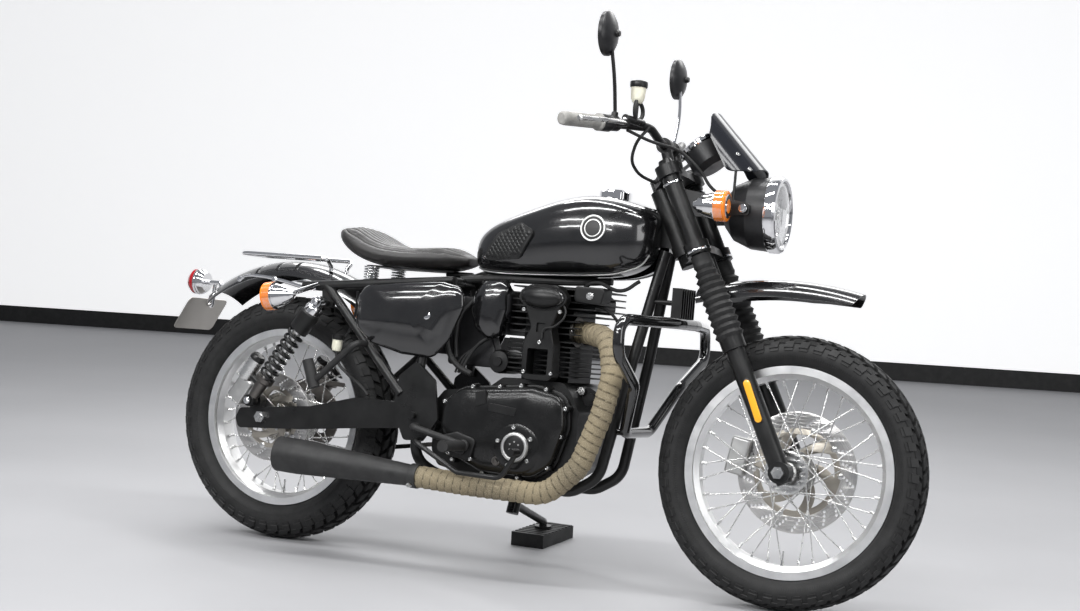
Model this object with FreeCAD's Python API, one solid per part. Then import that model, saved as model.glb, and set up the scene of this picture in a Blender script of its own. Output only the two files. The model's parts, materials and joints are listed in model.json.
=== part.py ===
import FreeCAD, Part
import math
import os

# A single-cylinder retro roadster with a sprung solo seat, parked on its side stand.
# Each piece is modelled on the upright machine: +X to the front, +Y to the rider's left,
# +Z up, with the ground at zero midway between the axles. At the end the front end is
# turned to its parked angle and the whole machine is leaned over to the left.

# Whole machine, lengths in mm and angles in degrees
wheelbase = 1440.0
rake_angle = 26.3
fork_offset = 55.0
lean_angle = 5.4
parked_steer_angle = 4.0
fit_gap = 0.3
seat_gap = 0.1
overrun = 6.0

# Wheels and tyres
front_tyre_radius = 333.0
front_tyre_width = 104.0
rear_tyre_radius = 332.5
rear_tyre_width = 132.0
tyre_wall = 9.0
front_rim_radius = 258.0
front_rim_width = 68.0
rear_rim_radius = 241.0
rear_rim_width = 94.0
rim_wall = 4.0
rim_flange_height = 15.0
rim_well_depth = 13.0
spoke_radius = 1.7
spoke_count = 36
spoke_side_step = 8.0
spoke_cross_angle = 62.0
front_axle_radius = 8.5
rear_axle_radius = 9.0
front_hub_width = 120.0
front_hub_radius = 27.0
front_flange_radius = 54.0
rear_hub_width = 150.0
rear_hub_radius = 38.0
rear_flange_radius = 66.0
flange_thickness = 7.0
flange_span_share = 0.74
spoke_ring_inset = 6.0
disc_thickness = 5.0
front_disc_radius = 150.0
front_disc_y = 66.0
rear_disc_radius = 120.0
rear_disc_y = -88.0
disc_band_share = 0.3
carrier_window_count = 6
front_caliper_angle = 170.0
rear_caliper_angle = 146.0

# Final drive, on the left
sprocket_radius = 96.0
sprocket_thickness = 6.0
chain_y = 98.0
front_sprocket_radius = 38.0
front_sprocket_x = -160.0
front_sprocket_z = 366.0
chain_width = 14.0
chain_height = 12.0

# Fork, measured along the steering axis from the point nearest to the front axle
fork_spacing = 196.0
fork_tube_radius = 20.5
fork_cover_radius = 22.5
fork_leg_radius = 23.5
fork_collar_radius = 30.0
fork_leg_top = 345.0
fork_leg_drop = 28.0
gaiter_top = 562.0
gaiter_radius = 36.0
gaiter_small_radius = 30.0
gaiter_neck_radius = 24.0
gaiter_folds = 11
lower_clamp_low = 566.0
clamp_height = 30.0
clamp_ring_radius = 31.0
head_tube_length = 178.0
head_tube_radius = 31.0
stem_radius = 15.0
clamp_edge = 14.0
fork_cap_height = 14.0
axle_lug_radius = 26.0

# Frame tubes and plates
frame_tube_radius = 14.0
spine_radius = 23.0
spine_rear_x = -184.0
spine_rear_z = 736.0
spine_head_share = 0.62
tank_rest_share = 0.72
cradle_front_gap = 50.0
cradle_z = 228.0
cradle_half_width = 74.0
pivot_x = -247.0
pivot_z = 381.0
pivot_plate_y = 150.0
pivot_plate_thickness = 8.0
pivot_plate_height = 206.0
pivot_plate_length = 140.0
pivot_bolt_radius = 10.0
rail_rear_x = -640.0
rail_rear_z = 694.0
rail_half_width = 112.0
strut_tube_radius = 12.0
cross_tube_radius = 9.5

# Swing arm and rear suspension
arm_y = 128.0
arm_thickness = 28.0
arm_tail = 84.0
arm_height = 118.0
arm_cross_radius = 20.0
shock_y = 165.0
shock_top_x = -558.0
shock_top_z = 653.0
shock_foot_x = -744.0
shock_foot_z = 375.0
shock_eye_radius = 16.0
shock_eye_width = 24.0
shock_radius = 27.0
reservoir_radius = 21.0
reservoir_length = 78.0
reservoir_reach = 54.0

# Engine
case_length = 410.0
case_rear_x = -210.0
case_height = 253.0
case_foot_z = 247.0
case_half_width = 118.0
cover_depth = 46.0
cover_rounding = 15.0
clutch_x = 57.0
clutch_z = 330.0
clutch_radius = 70.0
clutch_dome_depth = 7.0
clutch_ring_radius = 37.0
clutch_ring_depth = 11.0
filter_cover_depth = 11.0
raised_land_depth = 1.6
sight_plug_radius = 11.0
generator_radius = 88.0
mount_ear_thickness = 6.0
mount_ear_half_width = 58.0
mount_bolt_radius = 6.0
cylinder_x = 76.0
cylinder_half_length = 66.0
cylinder_half_width = 70.0
head_seat_z = 612.0
fin_thickness = 3.4
fin_reach = 34.0
cylinder_fin_count = 8
head_height = 68.0
head_fin_count = 8
head_fin_reach = 34.0
head_front_reach = 76.0
cover_height = 62.0
cam_tower_depth = 42.0
cam_tower_width = 122.0
cam_tower_gap = 2.0
cam_dome_height = 58.0
cam_dome_length = 112.0
intake_radius = 27.0
intake_block_length = 77.0
intake_block_width = 130.0
intake_block_height = 112.0
intake_cover_length = 98.0
intake_cover_height = 136.0
intake_cover_depth = 26.0

# Exhaust
pipe_radius = 28.5
port_y = -50.0
pipe_side_y = -150.0
pipe_low_z = 219.0
pipe_front_gap = 90.1
muffler_length = 420.0
muffler_rear_radius = 46.0
muffler_front_radius = 27.0
muffler_wall = 3.0
muffler_y = -190.0
muffler_rise = 22.0

# Tank, seat and covers
tank_length = 505.0
tank_rear_x = -159.0
tank_height = 216.0
tank_foot_z = 763.0
tank_half_width = 143.0
tank_tunnel_gap = 9.0
cap_radius = 41.0
cap_height = 16.0
cap_x = 200.0
pad_length = 168.0
pad_height = 104.0
pad_depth = 7.0
seat_length = 378.0
seat_rear_x = -562.0
seat_foot_z = 764.0
seat_rise = 103.0
seat_half_width = 136.0
seat_pan_thickness = 4.0
spring_radius = 21.0
spring_wire = 4.5
spring_x = -458.0
spring_y = 72.0
side_panel_length = 284.0
side_panel_height = 176.0
side_panel_rear_x = -446.0
side_panel_low_z = 534.0
side_panel_y = 156.0
side_panel_edge = 4.0
side_panel_bulge = 17.0
air_box_length = 184.0
air_box_height = 150.0
air_box_half_width = 112.0
air_box_rear_x = -368.0
air_box_low_z = 545.0
fender_thickness = 2.5
front_fender_radius = 833.0
front_fender_centre_back = 44.0
front_fender_crown = 466.0
front_fender_half_width = 58.0
front_fender_drop = 46.0
front_fender_length = 412.0
front_fender_height = 88.0
front_fender_rear_x = 454.0
front_fender_low_z = 714.0
rear_fender_radius = 430.0
rear_fender_half_width = 84.0
rear_fender_drop = 44.0
rear_fender_start_angle = 38.0
rear_fender_sweep_angle = 92.0

# Rear equipment
rack_tube_radius = 6.0
rack_length = 230.0
rack_half_width = 68.0
rack_front_x = -655.0
rack_z = 774.0
rack_foot_x = -604.0
tail_lamp_radius = 35.0
tail_lamp_length = 52.0
tail_lamp_x = -1038.0
tail_lamp_z = 686.0
lamp_stay_radius = 7.0
plate_width = 180.0
plate_height = 102.0
plate_thickness = 2.0
plate_x = -1077.0
plate_z = 551.0
plate_slope_angle = 30.0
indicator_radius = 37.0
indicator_length = 92.0
indicator_stalk_radius = 7.0
rear_indicator_x = -588.0
rear_indicator_y = 230.0
rear_indicator_z = 668.0
rear_indicator_angle = 8.0
front_indicator_x = 549.0
front_indicator_y = 158.0
front_indicator_z = 955.0

# Controls near the feet
peg_radius = 15.0
peg_length = 112.0
peg_x = -78.0
peg_z = 321.0
peg_inner_y = 188.0
peg_bar_radius = 9.0
pillion_peg_length = 76.0
pillion_peg_x = -528.0
pillion_peg_z = 428.0
pillion_peg_y = 196.0
pillion_peg_angle = 21.0
pedal_radius = 6.5
pedal_y = 212.0

# Engine guard and regulator
guard_tube_radius = 14.0
guard_half_width = 300.0
guard_low_z = 390.0
guard_height = 281.0
guard_gap = 112.0
guard_reach = 112.0
regulator_length = 74.0
regulator_width = 96.0
regulator_depth = 26.0
regulator_fin_count = 7

# Front equipment
headlamp_radius = 95.0
headlamp_length = 142.0
headlamp_front_x = 640.0
headlamp_z = 958.0
headlamp_rim_depth = 24.0
bar_radius = 11.0
bar_clamp_rise = 64.0
bar_half_width = 396.0
bar_rise = 30.0
bar_pull_back = 136.0
grip_radius = 16.5
grip_length = 118.0
mirror_radius = 54.0
mirror_x = 240.0
mirror_y = 285.0
mirror_z = 1342.0
mirror_depth = 22.0
mirror_stem_radius = 4.5
master_radius = 9.0
master_length = 78.0
reservoir_top_radius = 20.0
reservoir_height = 54.0
reservoir_rise = 44.0
cable_radius = 4.0
cable_bend = 400.0
gauge_radius = 56.0
gauge_length = 74.0
gauge_slope_angle = 38.0
gauge_reach = 92.0
screen_height = 190.0
screen_half_width = 112.0
screen_thickness = 3.0
screen_bulge = 62.0
screen_slope_angle = 44.0

# Stand
stand_pivot_x = -79.0
stand_pivot_y = 138.0
stand_pivot_z = 158.0
stand_foot_x = -108.0
stand_foot_y = 396.0
stand_leg_radius = 11.0
stand_foot_radius = 24.0
stand_foot_thickness = 7.0
stand_head_radius = 17.0
stand_bolt_radius = 7.0
stand_head_length = 30.0
block_length = 98.0
block_width = 200.0
block_height = 38.0
block_rib_count = 9
block_rib_depth = 3.0

# Tables of shares: each follows the named sizes of the piece that it shapes
tank_section_shares = [
    (0.000, 0.30, 0.10, 0.36), (0.060, 0.56, 0.02, 0.54), (0.200, 0.74, 0.00, 0.71),
    (0.400, 0.91, 0.01, 0.88), (0.620, 1.00, 0.03, 1.00), (0.810, 0.98, 0.07, 0.97),
    (0.940, 0.78, 0.19, 0.88), (1.000, 0.36, 0.42, 0.74)]
seat_section_shares = [
    (0.000, 0.60, 0.66, 0.97), (0.110, 0.92, 0.33, 0.94), (0.270, 1.00, 0.09, 0.65),
    (0.480, 0.94, 0.00, 0.48), (0.690, 0.77, 0.00, 0.50), (0.880, 0.51, 0.09, 0.55),
    (1.000, 0.26, 0.22, 0.41)]
case_outline_shares = [
    (0.01, 0.20), (0.06, 0.05), (0.22, 0.00), (0.80, 0.00), (0.96, 0.17), (1.00, 0.36),
    (1.00, 0.72), (0.93, 0.92), (0.88, 1.00), (0.47, 1.00), (0.37, 0.88), (0.07, 0.82),
    (0.00, 0.68)]
cover_outline_shares = [
    (0.10, 0.44), (0.11, 0.72), (0.23, 0.86), (0.72, 0.94), (0.93, 0.87), (0.95, 0.56),
    (0.88, 0.18), (0.75, 0.04), (0.40, 0.04), (0.16, 0.20)]
filter_cover_shares = [
    (0.13, 0.36), (0.17, 0.19), (0.35, 0.13), (0.39, 0.36), (0.25, 0.42)]
raised_land_shares = [
    (0.45, 0.66), (0.63, 0.63), (0.64, 0.71), (0.45, 0.74)]
wedge_land_shares = [
    (0.35, 0.83), (0.36, 0.69), (0.43, 0.73), (0.42, 0.86)]
sight_plug_share = 0.53
sight_plug_height_share = 0.17
generator_place_share = 0.66
sprocket_cover_shares = [
    (0.09, 0.30), (0.09, 0.66), (0.16, 0.76), (0.36, 0.74), (0.52, 0.60), (0.52, 0.14),
    (0.36, 0.10), (0.16, 0.20)]
pivot_plate_shares = [
    (0.45, 1.00), (0.86, 0.78), (0.98, 0.30), (0.70, 0.02), (0.30, 0.00), (0.02, 0.36),
    (0.10, 0.80)]
arm_outline_shares = [
    (1.00, 0.88), (0.965, 0.98), (0.63, 0.98), (0.40, 0.68), (0.02, 0.48), (0.00, 0.24),
    (0.02, 0.02), (0.36, 0.14), (0.68, 0.32), (0.965, 0.46), (1.00, 0.56)]
cam_tower_shares = [
    (0.13, 0.00), (0.11, 0.38), (0.27, 0.55), (0.13, 0.73), (0.00, 0.87), (0.20, 1.00),
    (0.80, 1.00), (1.00, 0.87), (0.87, 0.73), (0.73, 0.55), (0.82, 0.38), (0.84, 0.00)]
cam_window_shares = [
    (0.24, 0.06), (0.24, 0.33), (0.71, 0.33), (0.71, 0.06)]
cam_recess_shares = [
    (0.40, 0.50), (0.40, 0.60), (0.60, 0.60), (0.60, 0.50)]
cam_dome_centre_share = 0.865
intake_cover_shares = [
    (0.00, 0.52), (0.06, 0.86), (0.34, 1.00), (0.74, 1.00), (1.00, 0.80), (1.00, 0.46),
    (0.78, 0.12), (0.46, 0.00), (0.14, 0.14)]
air_box_stud_shares = [(0.12, 0.3), (0.44, 0.3), (0.36, 0.75)]
mount_ear_shares = [
    (-0.12, 0.76), (0.04, 0.80), (0.06, 0.92), (0.00, 0.97), (-0.12, 0.97)]
indicator_shares = [
    (0.00, 0.00), (0.05, 0.26), (0.18, 0.50), (0.36, 0.70), (0.60, 0.86), (0.66, 0.88),
    (0.66, 1.00), (0.90, 1.00), (0.97, 0.90), (1.00, 0.74), (1.00, 0.00)]
front_fender_shares = [
    (0.00, 0.05), (0.14, 0.00), (0.32, 0.27), (0.52, 0.42), (0.76, 0.43), (0.95, 0.38),
    (1.00, 0.76), (1.00, 1.40), (0.00, 1.40)]
side_panel_shares = [
    (0.01, 0.43), (0.05, 0.74), (0.98, 1.00), (0.92, 0.62), (0.72, 0.00), (0.22, 0.14)]
pad_shares = [
    (0.00, 0.00), (0.30, 0.70), (0.72, 1.00), (1.00, 0.78), (0.74, 0.10)]
pan_shares = [
    (0.16, -0.26), (0.30, -0.50), (0.72, -0.60), (0.78, -0.50), (0.78, 0.50), (0.72, 0.60),
    (0.30, 0.50), (0.16, 0.26)]
front_fender_sweep_share = 1.13
tank_squareness_share = 0.62
seat_squareness_share = 0.7
cross_tube_shares = [0, 0.2, 0.99]
rack_bar_shares = [0.3, 0.6]
front_bracket_shares = [
    (0.22, 0.30), (0.30, 0.66), (0.80, 0.50), (1.02, 0.30), (0.96, 0.10), (0.80, 0.08)]
rear_bracket_shares = [
    (-0.20, -0.12), (-0.16, 0.20), (0.62, 0.78), (0.95, 0.52), (0.20, -0.18)]
pipe_route_shares = [
    (0.00, 0.00, 0.00), (0.26, 0.00, 0.00), (0.86, 0.70, -0.03), (1.02, 0.92, -0.25),
    (0.90, 1.00, -0.49), (0.58, 1.00, -0.81), (0.00, 1.00, -1.00)]
guard_route_shares = [
    (0.00, 0.14, 0.00), (0.00, 0.27, 0.00), (0.42, 0.52, 0.43), (0.50, 1.00, 0.70),
    (0.47, 0.98, 0.99), (0.98, 0.24, 1.00), (1.00, 0.12, 1.00)]
handlebar_shares = [
    (0.00, 0.16, 0.00), (0.08, 0.34, 1.00), (0.36, 0.50, 0.80), (1.00, 1.00, 0.10)]
screen_outline_shares = [
    (-1.0, 0.16), (-0.84, 0.74), (-0.45, 1.0), (0.45, 1.0), (0.84, 0.74), (1.0, 0.16),
    (0.62, 0.0), (-0.62, 0.0)]

# Routes of the hose and cables on the bars, in millimetres on the upright machine
cable_routes = [
    [(330, -152, 1140), (304, -166, 1104), (280, -132, 1058), (288, -80, 1030), (322, -42, 1017)],
    [(300, -232, 1118), (340, -160, 1102), (390, -86, 1098), (444, -67, 1050), (474, -62, 1004),
     (526, -50, 984)],
    [(300, 232, 1118), (300, 160, 1092), (286, 96, 1044), (322, 42, 1017)]]

# Places worked out from the sizes above
UP = FreeCAD.Vector(0, 0, 1)
LEFT = FreeCAD.Vector(0, 1, 0)
FORWARD = FreeCAD.Vector(1, 0, 0)
ORIGIN = FreeCAD.Vector(0, 0, 0)
sin_rake = math.sin(math.radians(rake_angle))
cos_rake = math.cos(math.radians(rake_angle))
stand_folded_way = FreeCAD.Vector(-1, 0.12, 0.02)
front_axle = FreeCAD.Vector(wheelbase / 2, 0, front_tyre_radius)
rear_axle = FreeCAD.Vector(-wheelbase / 2, 0, rear_tyre_radius)
steer_up = FreeCAD.Vector(-sin_rake, 0, cos_rake)
steer_base = front_axle - FreeCAD.Vector(cos_rake, 0, sin_rake) * fork_offset
fork_frame = FreeCAD.Placement(steer_base, FreeCAD.Rotation(LEFT, -rake_angle))
head_low = lower_clamp_low + clamp_height + fit_gap
upper_clamp_low = head_low + head_tube_length + fit_gap
case_top_z = case_foot_z + case_height
case_front_x = case_rear_x + case_length
cylinder_height = head_seat_z - case_top_z
generator_x = case_rear_x + case_length * generator_place_share
down_tube_foot_x = case_front_x + cradle_front_gap
guard_low_x = case_front_x + guard_gap
crown_line = FreeCAD.Vector(0, 0, rear_tyre_width / 2)


def at(x, y, z):
    """A point of the upright machine."""
    return FreeCAD.Vector(x, y, z)


def on_fork(x, y, along):
    """A point given across and along the steering axis."""
    return fork_frame.multVec(FreeCAD.Vector(x, y, along))


def mirrored(shape):
    """The same piece on the other side of the machine."""
    return shape.mirror(ORIGIN, LEFT)


def both_sides(shape):
    """A piece and its twin as two solids of one node."""
    return Part.makeCompound(shape.Solids + mirrored(shape).Solids)


def corner_arc(before, corner, after, bend):
    """Start, middle and end of the tangent arc that rounds one corner."""
    run_in = corner - before
    run_out = after - corner
    half_turn = run_in.getAngle(run_out) / 2
    reach = min(bend * math.tan(half_turn), 0.45 * min(run_in.Length, run_out.Length))
    radius = reach / math.tan(half_turn)
    run_in.normalize()
    run_out.normalize()
    inward = run_out - run_in
    inward.normalize()
    middle = corner + inward * (radius / math.cos(half_turn) - radius)
    return corner - run_in * reach, middle, corner + run_out * reach


def bent_path(points, bend):
    """Straight runs joined by tangent arcs, open at both ends."""
    edges = []
    start = points[0]
    for before, corner, after in zip(points, points[1:], points[2:]):
        first, middle, last = corner_arc(before, corner, after, bend)
        edges.append(Part.LineSegment(start, first).toShape())
        edges.append(Part.Arc(first, middle, last).toShape())
        start = last
    edges.append(Part.LineSegment(start, points[-1]).toShape())
    return Part.Wire(edges)


def round_outline(points, bend):
    """A closed outline with each corner rounded."""
    arcs = []
    for index, corner in enumerate(points):
        arcs.append(corner_arc(points[index - 1], corner, points[(index + 1) % len(points)], bend))
    edges = []
    for arc, following in zip(arcs, arcs[1:] + arcs[:1]):
        edges.append(Part.Arc(*arc).toShape())
        edges.append(Part.LineSegment(arc[2], following[0]).toShape())
    return Part.Wire(edges)


def tube(points, radius, bend):
    """A round bar or pipe along a bent path."""
    path = bent_path(points, bend) if len(points) > 2 else Part.Wire(
        Part.LineSegment(points[0], points[1]).toShape())
    ring = Part.Wire(Part.makeCircle(radius, points[0], points[1] - points[0]))
    return path.makePipe(Part.Face(ring))


def rod(start, end, radius):
    """A straight round bar between two points."""
    return Part.makeCylinder(radius, (end - start).Length, start, end - start)


def turned(profile, centre, axis):
    """A solid of revolution from (along, radius) pairs."""
    points = [FreeCAD.Vector(radius, 0, along) for along, radius in profile]
    wire = Part.makePolygon(points + points[:1])
    solid = Part.Face(wire).revolve(ORIGIN, UP, 360)
    solid = Part.Solid(solid) if solid.ShapeType == "Shell" else solid
    solid.Placement = FreeCAD.Placement(centre, FreeCAD.Rotation(UP, axis))
    return solid


def side_plate(outline, bend, y, thickness):
    """A plate cut to an outline seen from the side, from y outwards."""
    wire = round_outline([at(x, y, z) for x, z in outline], bend)
    return Part.Face(wire).extrude(LEFT * thickness)


def scaled_outline(shares, x, z, length, height):
    """An outline from shares of a length and a height."""
    return [(x + across * length, z + up * height) for across, up in shares]


def box(x, y, z, length, width, height):
    """A square block between its low corner and its sizes."""
    return Part.makeBox(length, width, height, at(x, y, z))


def oval_section(x, half_width, low, high, squareness):
    """A closed oval across the machine, flatter at its base."""
    middle = (low + high) / 2
    half_height = (high - low) / 2
    points = []
    for step in range(14):
        turn = math.tau * (step + 0.5) / 14
        across = math.copysign(abs(math.cos(turn)) ** squareness, math.cos(turn))
        up = math.copysign(abs(math.sin(turn)) ** squareness, math.sin(turn))
        points.append(at(x, across * half_width, middle + up * half_height))
    curve = Part.BSplineCurve()
    curve.interpolate(points, True)
    return Part.Wire(curve.toShape())


def lofted(shares, x, z, length, half_width, height, squareness):
    """A smooth body through oval sections given as shares of its sizes."""
    wires = []
    for along, across, low, high in shares:
        wires.append(oval_section(x + along * length, across * half_width,
                                  z + low * height, z + high * height, squareness))
    return Part.makeLoft(wires, True, False)


def wheel_ring(section, centre):
    """A ring round a wheel's axle from a closed list of (y, radius) pairs."""
    points = [at(0, y, radius) for y, radius in section]
    wire = Part.makePolygon(points + points[:1])
    ring = Part.Face(wire).revolve(ORIGIN, LEFT, 360)
    ring.translate(centre)
    return ring


def arc_in_section(first, middle, last):
    """An arc in the wheel's section plane through three (y, radius) pairs."""
    ends = [at(0, y, radius) for y, radius in (first, middle, last)]
    return Part.Arc(*ends).toShape()


def line_in_section(first, last):
    """A straight edge in the wheel's section plane."""
    return Part.LineSegment(at(0, *first), at(0, *last)).toShape()


def tyre(centre, radius, width, rim_radius, rim_width):
    """A hollow tyre: beads on the rim, side walls and a round crown."""
    half = width / 2
    bead = rim_width / 2 - rim_wall - seat_gap
    bead_radius = rim_radius - rim_flange_height + seat_gap
    flange_top = rim_radius + seat_gap
    shoulder = (0.80 * half, radius - 0.34 * half)
    widest = (half, (radius + rim_radius) / 2)
    inner_half = half - tyre_wall
    inner_radius = radius - tyre_wall
    inner_shoulder = (0.80 * inner_half, inner_radius - 0.34 * inner_half)
    inner_widest = (inner_half, widest[1])
    inner_bead = bead - tyre_wall

    def wall(foot, bulge, end):
        return [line_in_section((foot, bead_radius), (foot, flange_top)),
                arc_in_section((foot, flange_top), bulge, end)]

    def other_side(pair):
        return (-pair[0], pair[1])

    edges = wall(bead, widest, shoulder)
    edges.append(arc_in_section(shoulder, (0, radius), other_side(shoulder)))
    edges += wall(-bead, other_side(widest), other_side(shoulder))
    edges.append(line_in_section((-bead, bead_radius), (-inner_bead, bead_radius)))
    edges += wall(-inner_bead, other_side(inner_widest), other_side(inner_shoulder))
    edges.append(arc_in_section(other_side(inner_shoulder), (0, inner_radius), inner_shoulder))
    edges += wall(inner_bead, inner_widest, inner_shoulder)
    edges.append(line_in_section((inner_bead, bead_radius), (bead, bead_radius)))
    wire = Part.Wire(Part.__sortEdges__(edges))
    ring = Part.Face(wire).revolve(ORIGIN, LEFT, 360)
    ring.translate(centre)
    return ring


def rim(centre, radius, width):
    """A drop-centre rim with a flange on each side."""
    half = width / 2
    seat = radius - rim_flange_height
    well = seat - rim_well_depth
    tyre_side = [(half, radius), (half - rim_wall, radius), (half - rim_wall, seat),
                 (half * 0.62, seat), (half * 0.38, well)]
    hub_side = [(half * 0.44, well - rim_wall), (half * 0.70, seat - rim_wall),
                (half, seat - rim_wall)]
    section = tyre_side + [(-y, r) for y, r in reversed(tyre_side)]
    section += [(-y, r) for y, r in reversed(hub_side)] + hub_side
    return wheel_ring(section, centre)


def hub(centre, width, barrel, flange, bore):
    """A hub with two spoke flanges and a bore for its axle."""
    half = width / 2
    outer = half * flange_span_share
    inner = outer - flange_thickness
    waist = inner * 0.4
    side = [(half, bore), (half, barrel * 0.72), (outer, barrel), (outer, flange),
            (inner, flange), (inner, barrel * 1.12), (waist, barrel)]
    section = side + [(-y, r) for y, r in reversed(side)]
    return wheel_ring(section, centre)


def spokes(centre, rim_radius, hub_width, flange_radius):
    """Straight spokes crossed between the hub's flanges and the rim's well."""
    rim_end = rim_radius - rim_flange_height - rim_well_depth - rim_wall - seat_gap
    rim_end -= spoke_radius * 0.35
    ring = flange_radius - spoke_ring_inset
    side_y = hub_width / 2 * flange_span_share - flange_thickness / 2
    made = []
    for index in range(spoke_count):
        side = 1 if index % 2 else -1
        lean = 1 if (index // 2) % 2 else -1
        rim_turn = math.tau * index / spoke_count
        hub_turn = rim_turn + lean * math.radians(spoke_cross_angle)
        start_y = side * side_y + lean * spoke_side_step / 2
        start = centre + at(ring * math.sin(hub_turn), start_y, ring * math.cos(hub_turn))
        end = centre + at(rim_end * math.sin(rim_turn), side * spoke_radius * 3,
                          rim_end * math.cos(rim_turn))
        made.append(rod(start, end, spoke_radius))
    return made


def disc(centre, radius, y, bore):
    """A brake disc: an outer band on a carrier with round-ended windows."""
    plate = Part.makeCylinder(radius, disc_thickness, centre + LEFT * (y - disc_thickness / 2), LEFT)
    middle_radius = (radius * (1 - disc_band_share) + bore) / 2
    window = middle_radius * math.sin(math.pi / carrier_window_count) - disc_thickness
    for index in range(carrier_window_count):
        turn = math.tau * index / carrier_window_count
        place = centre + at(middle_radius * math.sin(turn), y - disc_thickness,
                            middle_radius * math.cos(turn))
        plate = plate.cut(Part.makeCylinder(window, disc_thickness * 2, place, LEFT))
    return plate.cut(Part.makeCylinder(bore, disc_thickness * 2,
                                       centre + LEFT * (y - disc_thickness), LEFT))


def wheels():
    """Tyres, rims, spokes, hubs, discs and the rear sprocket."""
    front_bore = front_axle_radius + fit_gap
    rear_bore = rear_axle_radius + fit_gap
    made = {}
    made["front_tyre"] = tyre(front_axle, front_tyre_radius, front_tyre_width,
                              front_rim_radius, front_rim_width)
    made["rear_tyre"] = tyre(rear_axle, rear_tyre_radius, rear_tyre_width,
                             rear_rim_radius, rear_rim_width)
    made["front_rim"] = rim(front_axle, front_rim_radius, front_rim_width)
    made["rear_rim"] = rim(rear_axle, rear_rim_radius, rear_rim_width)
    front_spokes = spokes(front_axle, front_rim_radius, front_hub_width, front_flange_radius)
    rear_spokes = spokes(rear_axle, rear_rim_radius, rear_hub_width, rear_flange_radius)
    made["front_hub"] = hub(front_axle, front_hub_width, front_hub_radius,
                            front_flange_radius, front_bore).fuse(front_spokes)
    made["rear_hub"] = hub(rear_axle, rear_hub_width, rear_hub_radius,
                           rear_flange_radius, rear_bore).fuse(rear_spokes)
    return made


def wheel_discs():
    """Brake discs on the hubs' ends, and the sprocket on the rear hub's left end."""
    front_step = front_hub_radius * 0.72
    rear_step = rear_hub_radius * 0.72
    made = {}
    made["front_disc"] = disc(front_axle, front_disc_radius, front_disc_y, front_step).fuse(
        wheel_ring(boss_section(front_hub_width / 2, front_disc_y + disc_thickness / 2,
                                front_axle_radius + fit_gap, front_step), front_axle))
    made["rear_disc"] = disc(rear_axle, rear_disc_radius, rear_disc_y, rear_step).fuse(
        wheel_ring(boss_section(rear_disc_y - disc_thickness / 2, -rear_hub_width / 2,
                                rear_axle_radius + fit_gap, rear_step), rear_axle))
    made["rear_sprocket"] = disc(rear_axle, sprocket_radius, chain_y, rear_step).fuse(
        wheel_ring(boss_section(rear_hub_width / 2, chain_y + disc_thickness / 2,
                                rear_axle_radius + fit_gap, rear_step), rear_axle))
    return made


def boss_section(low_y, high_y, bore, radius):
    """The section of a plain ring between two places on the axle."""
    return [(low_y, bore), (high_y, bore), (high_y, radius), (low_y, radius)]


def axle(centre, radius, half_length, spacer_from, spacer_to, nut_radius, nut_depth):
    """An axle with a spacer inside each fork or arm end and a nut outside it."""
    shaft = rod(centre - LEFT * (half_length + nut_depth * 1.3),
                centre + LEFT * (half_length + nut_depth * 1.3), radius)
    for side in (-1, 1):
        spacer = rod(centre + LEFT * side * spacer_from[side < 0],
                     centre + LEFT * side * spacer_to, nut_radius * 0.86)
        nut = hexagon(centre + LEFT * side * half_length, LEFT * side, nut_radius, nut_depth)
        shaft = shaft.fuse([spacer, nut])
    return shaft


def hexagon(base, direction, radius, depth):
    """A hexagonal nut or bolt head."""
    corners = [FreeCAD.Vector(radius * math.cos(math.tau * step / 6),
                              radius * math.sin(math.tau * step / 6), 0) for step in range(6)]
    solid = Part.Face(Part.makePolygon(corners + corners[:1])).extrude(UP * depth)
    solid.Placement = FreeCAD.Placement(base, FreeCAD.Rotation(UP, direction))
    return solid


def fork_clamp(low):
    """A clamp plate with a ring round each fork tube and a boss round the stem."""
    half = fork_spacing / 2
    outline = [FreeCAD.Vector(x, y, low + clamp_height * 0.15) for x, y in (
        (-stem_radius, -stem_radius), (fork_offset - stem_radius, -half), (fork_offset + stem_radius, -half),
        (fork_offset + clamp_edge * 1.3, 0), (fork_offset + stem_radius, half),
        (fork_offset - stem_radius, half), (-stem_radius, stem_radius))]
    plate = Part.Face(round_outline(outline, clamp_edge)).extrude(UP * clamp_height * 0.7)
    plate = plate.fuse(Part.makeCylinder(stem_radius * 1.55, clamp_height, ORIGIN + UP * low))
    for side in (-1, 1):
        place = FreeCAD.Vector(fork_offset, side * half, low)
        plate = plate.fuse(Part.makeCylinder(clamp_ring_radius, clamp_height, place))
    for side in (-1, 1):
        place = FreeCAD.Vector(fork_offset, side * half, low - clamp_height)
        plate = plate.cut(Part.makeCylinder(fork_tube_radius + seat_gap, clamp_height * 3, place))
    return plate


def fender_posts():
    """Two short posts that carry the front fender under the lower clamp."""
    blade = front_fender(seat_gap)
    posts = []
    for side in (-1, 1):
        top = on_fork(fork_offset, side * clamp_edge, lower_clamp_low + clamp_height / 2)
        post = rod(top, top - steer_up * lower_clamp_low * 0.3, clamp_edge / 2).cut(blade)
        posts.append(max(post.Solids, key=lambda solid: solid.CenterOfMass.z))
    return posts


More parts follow.
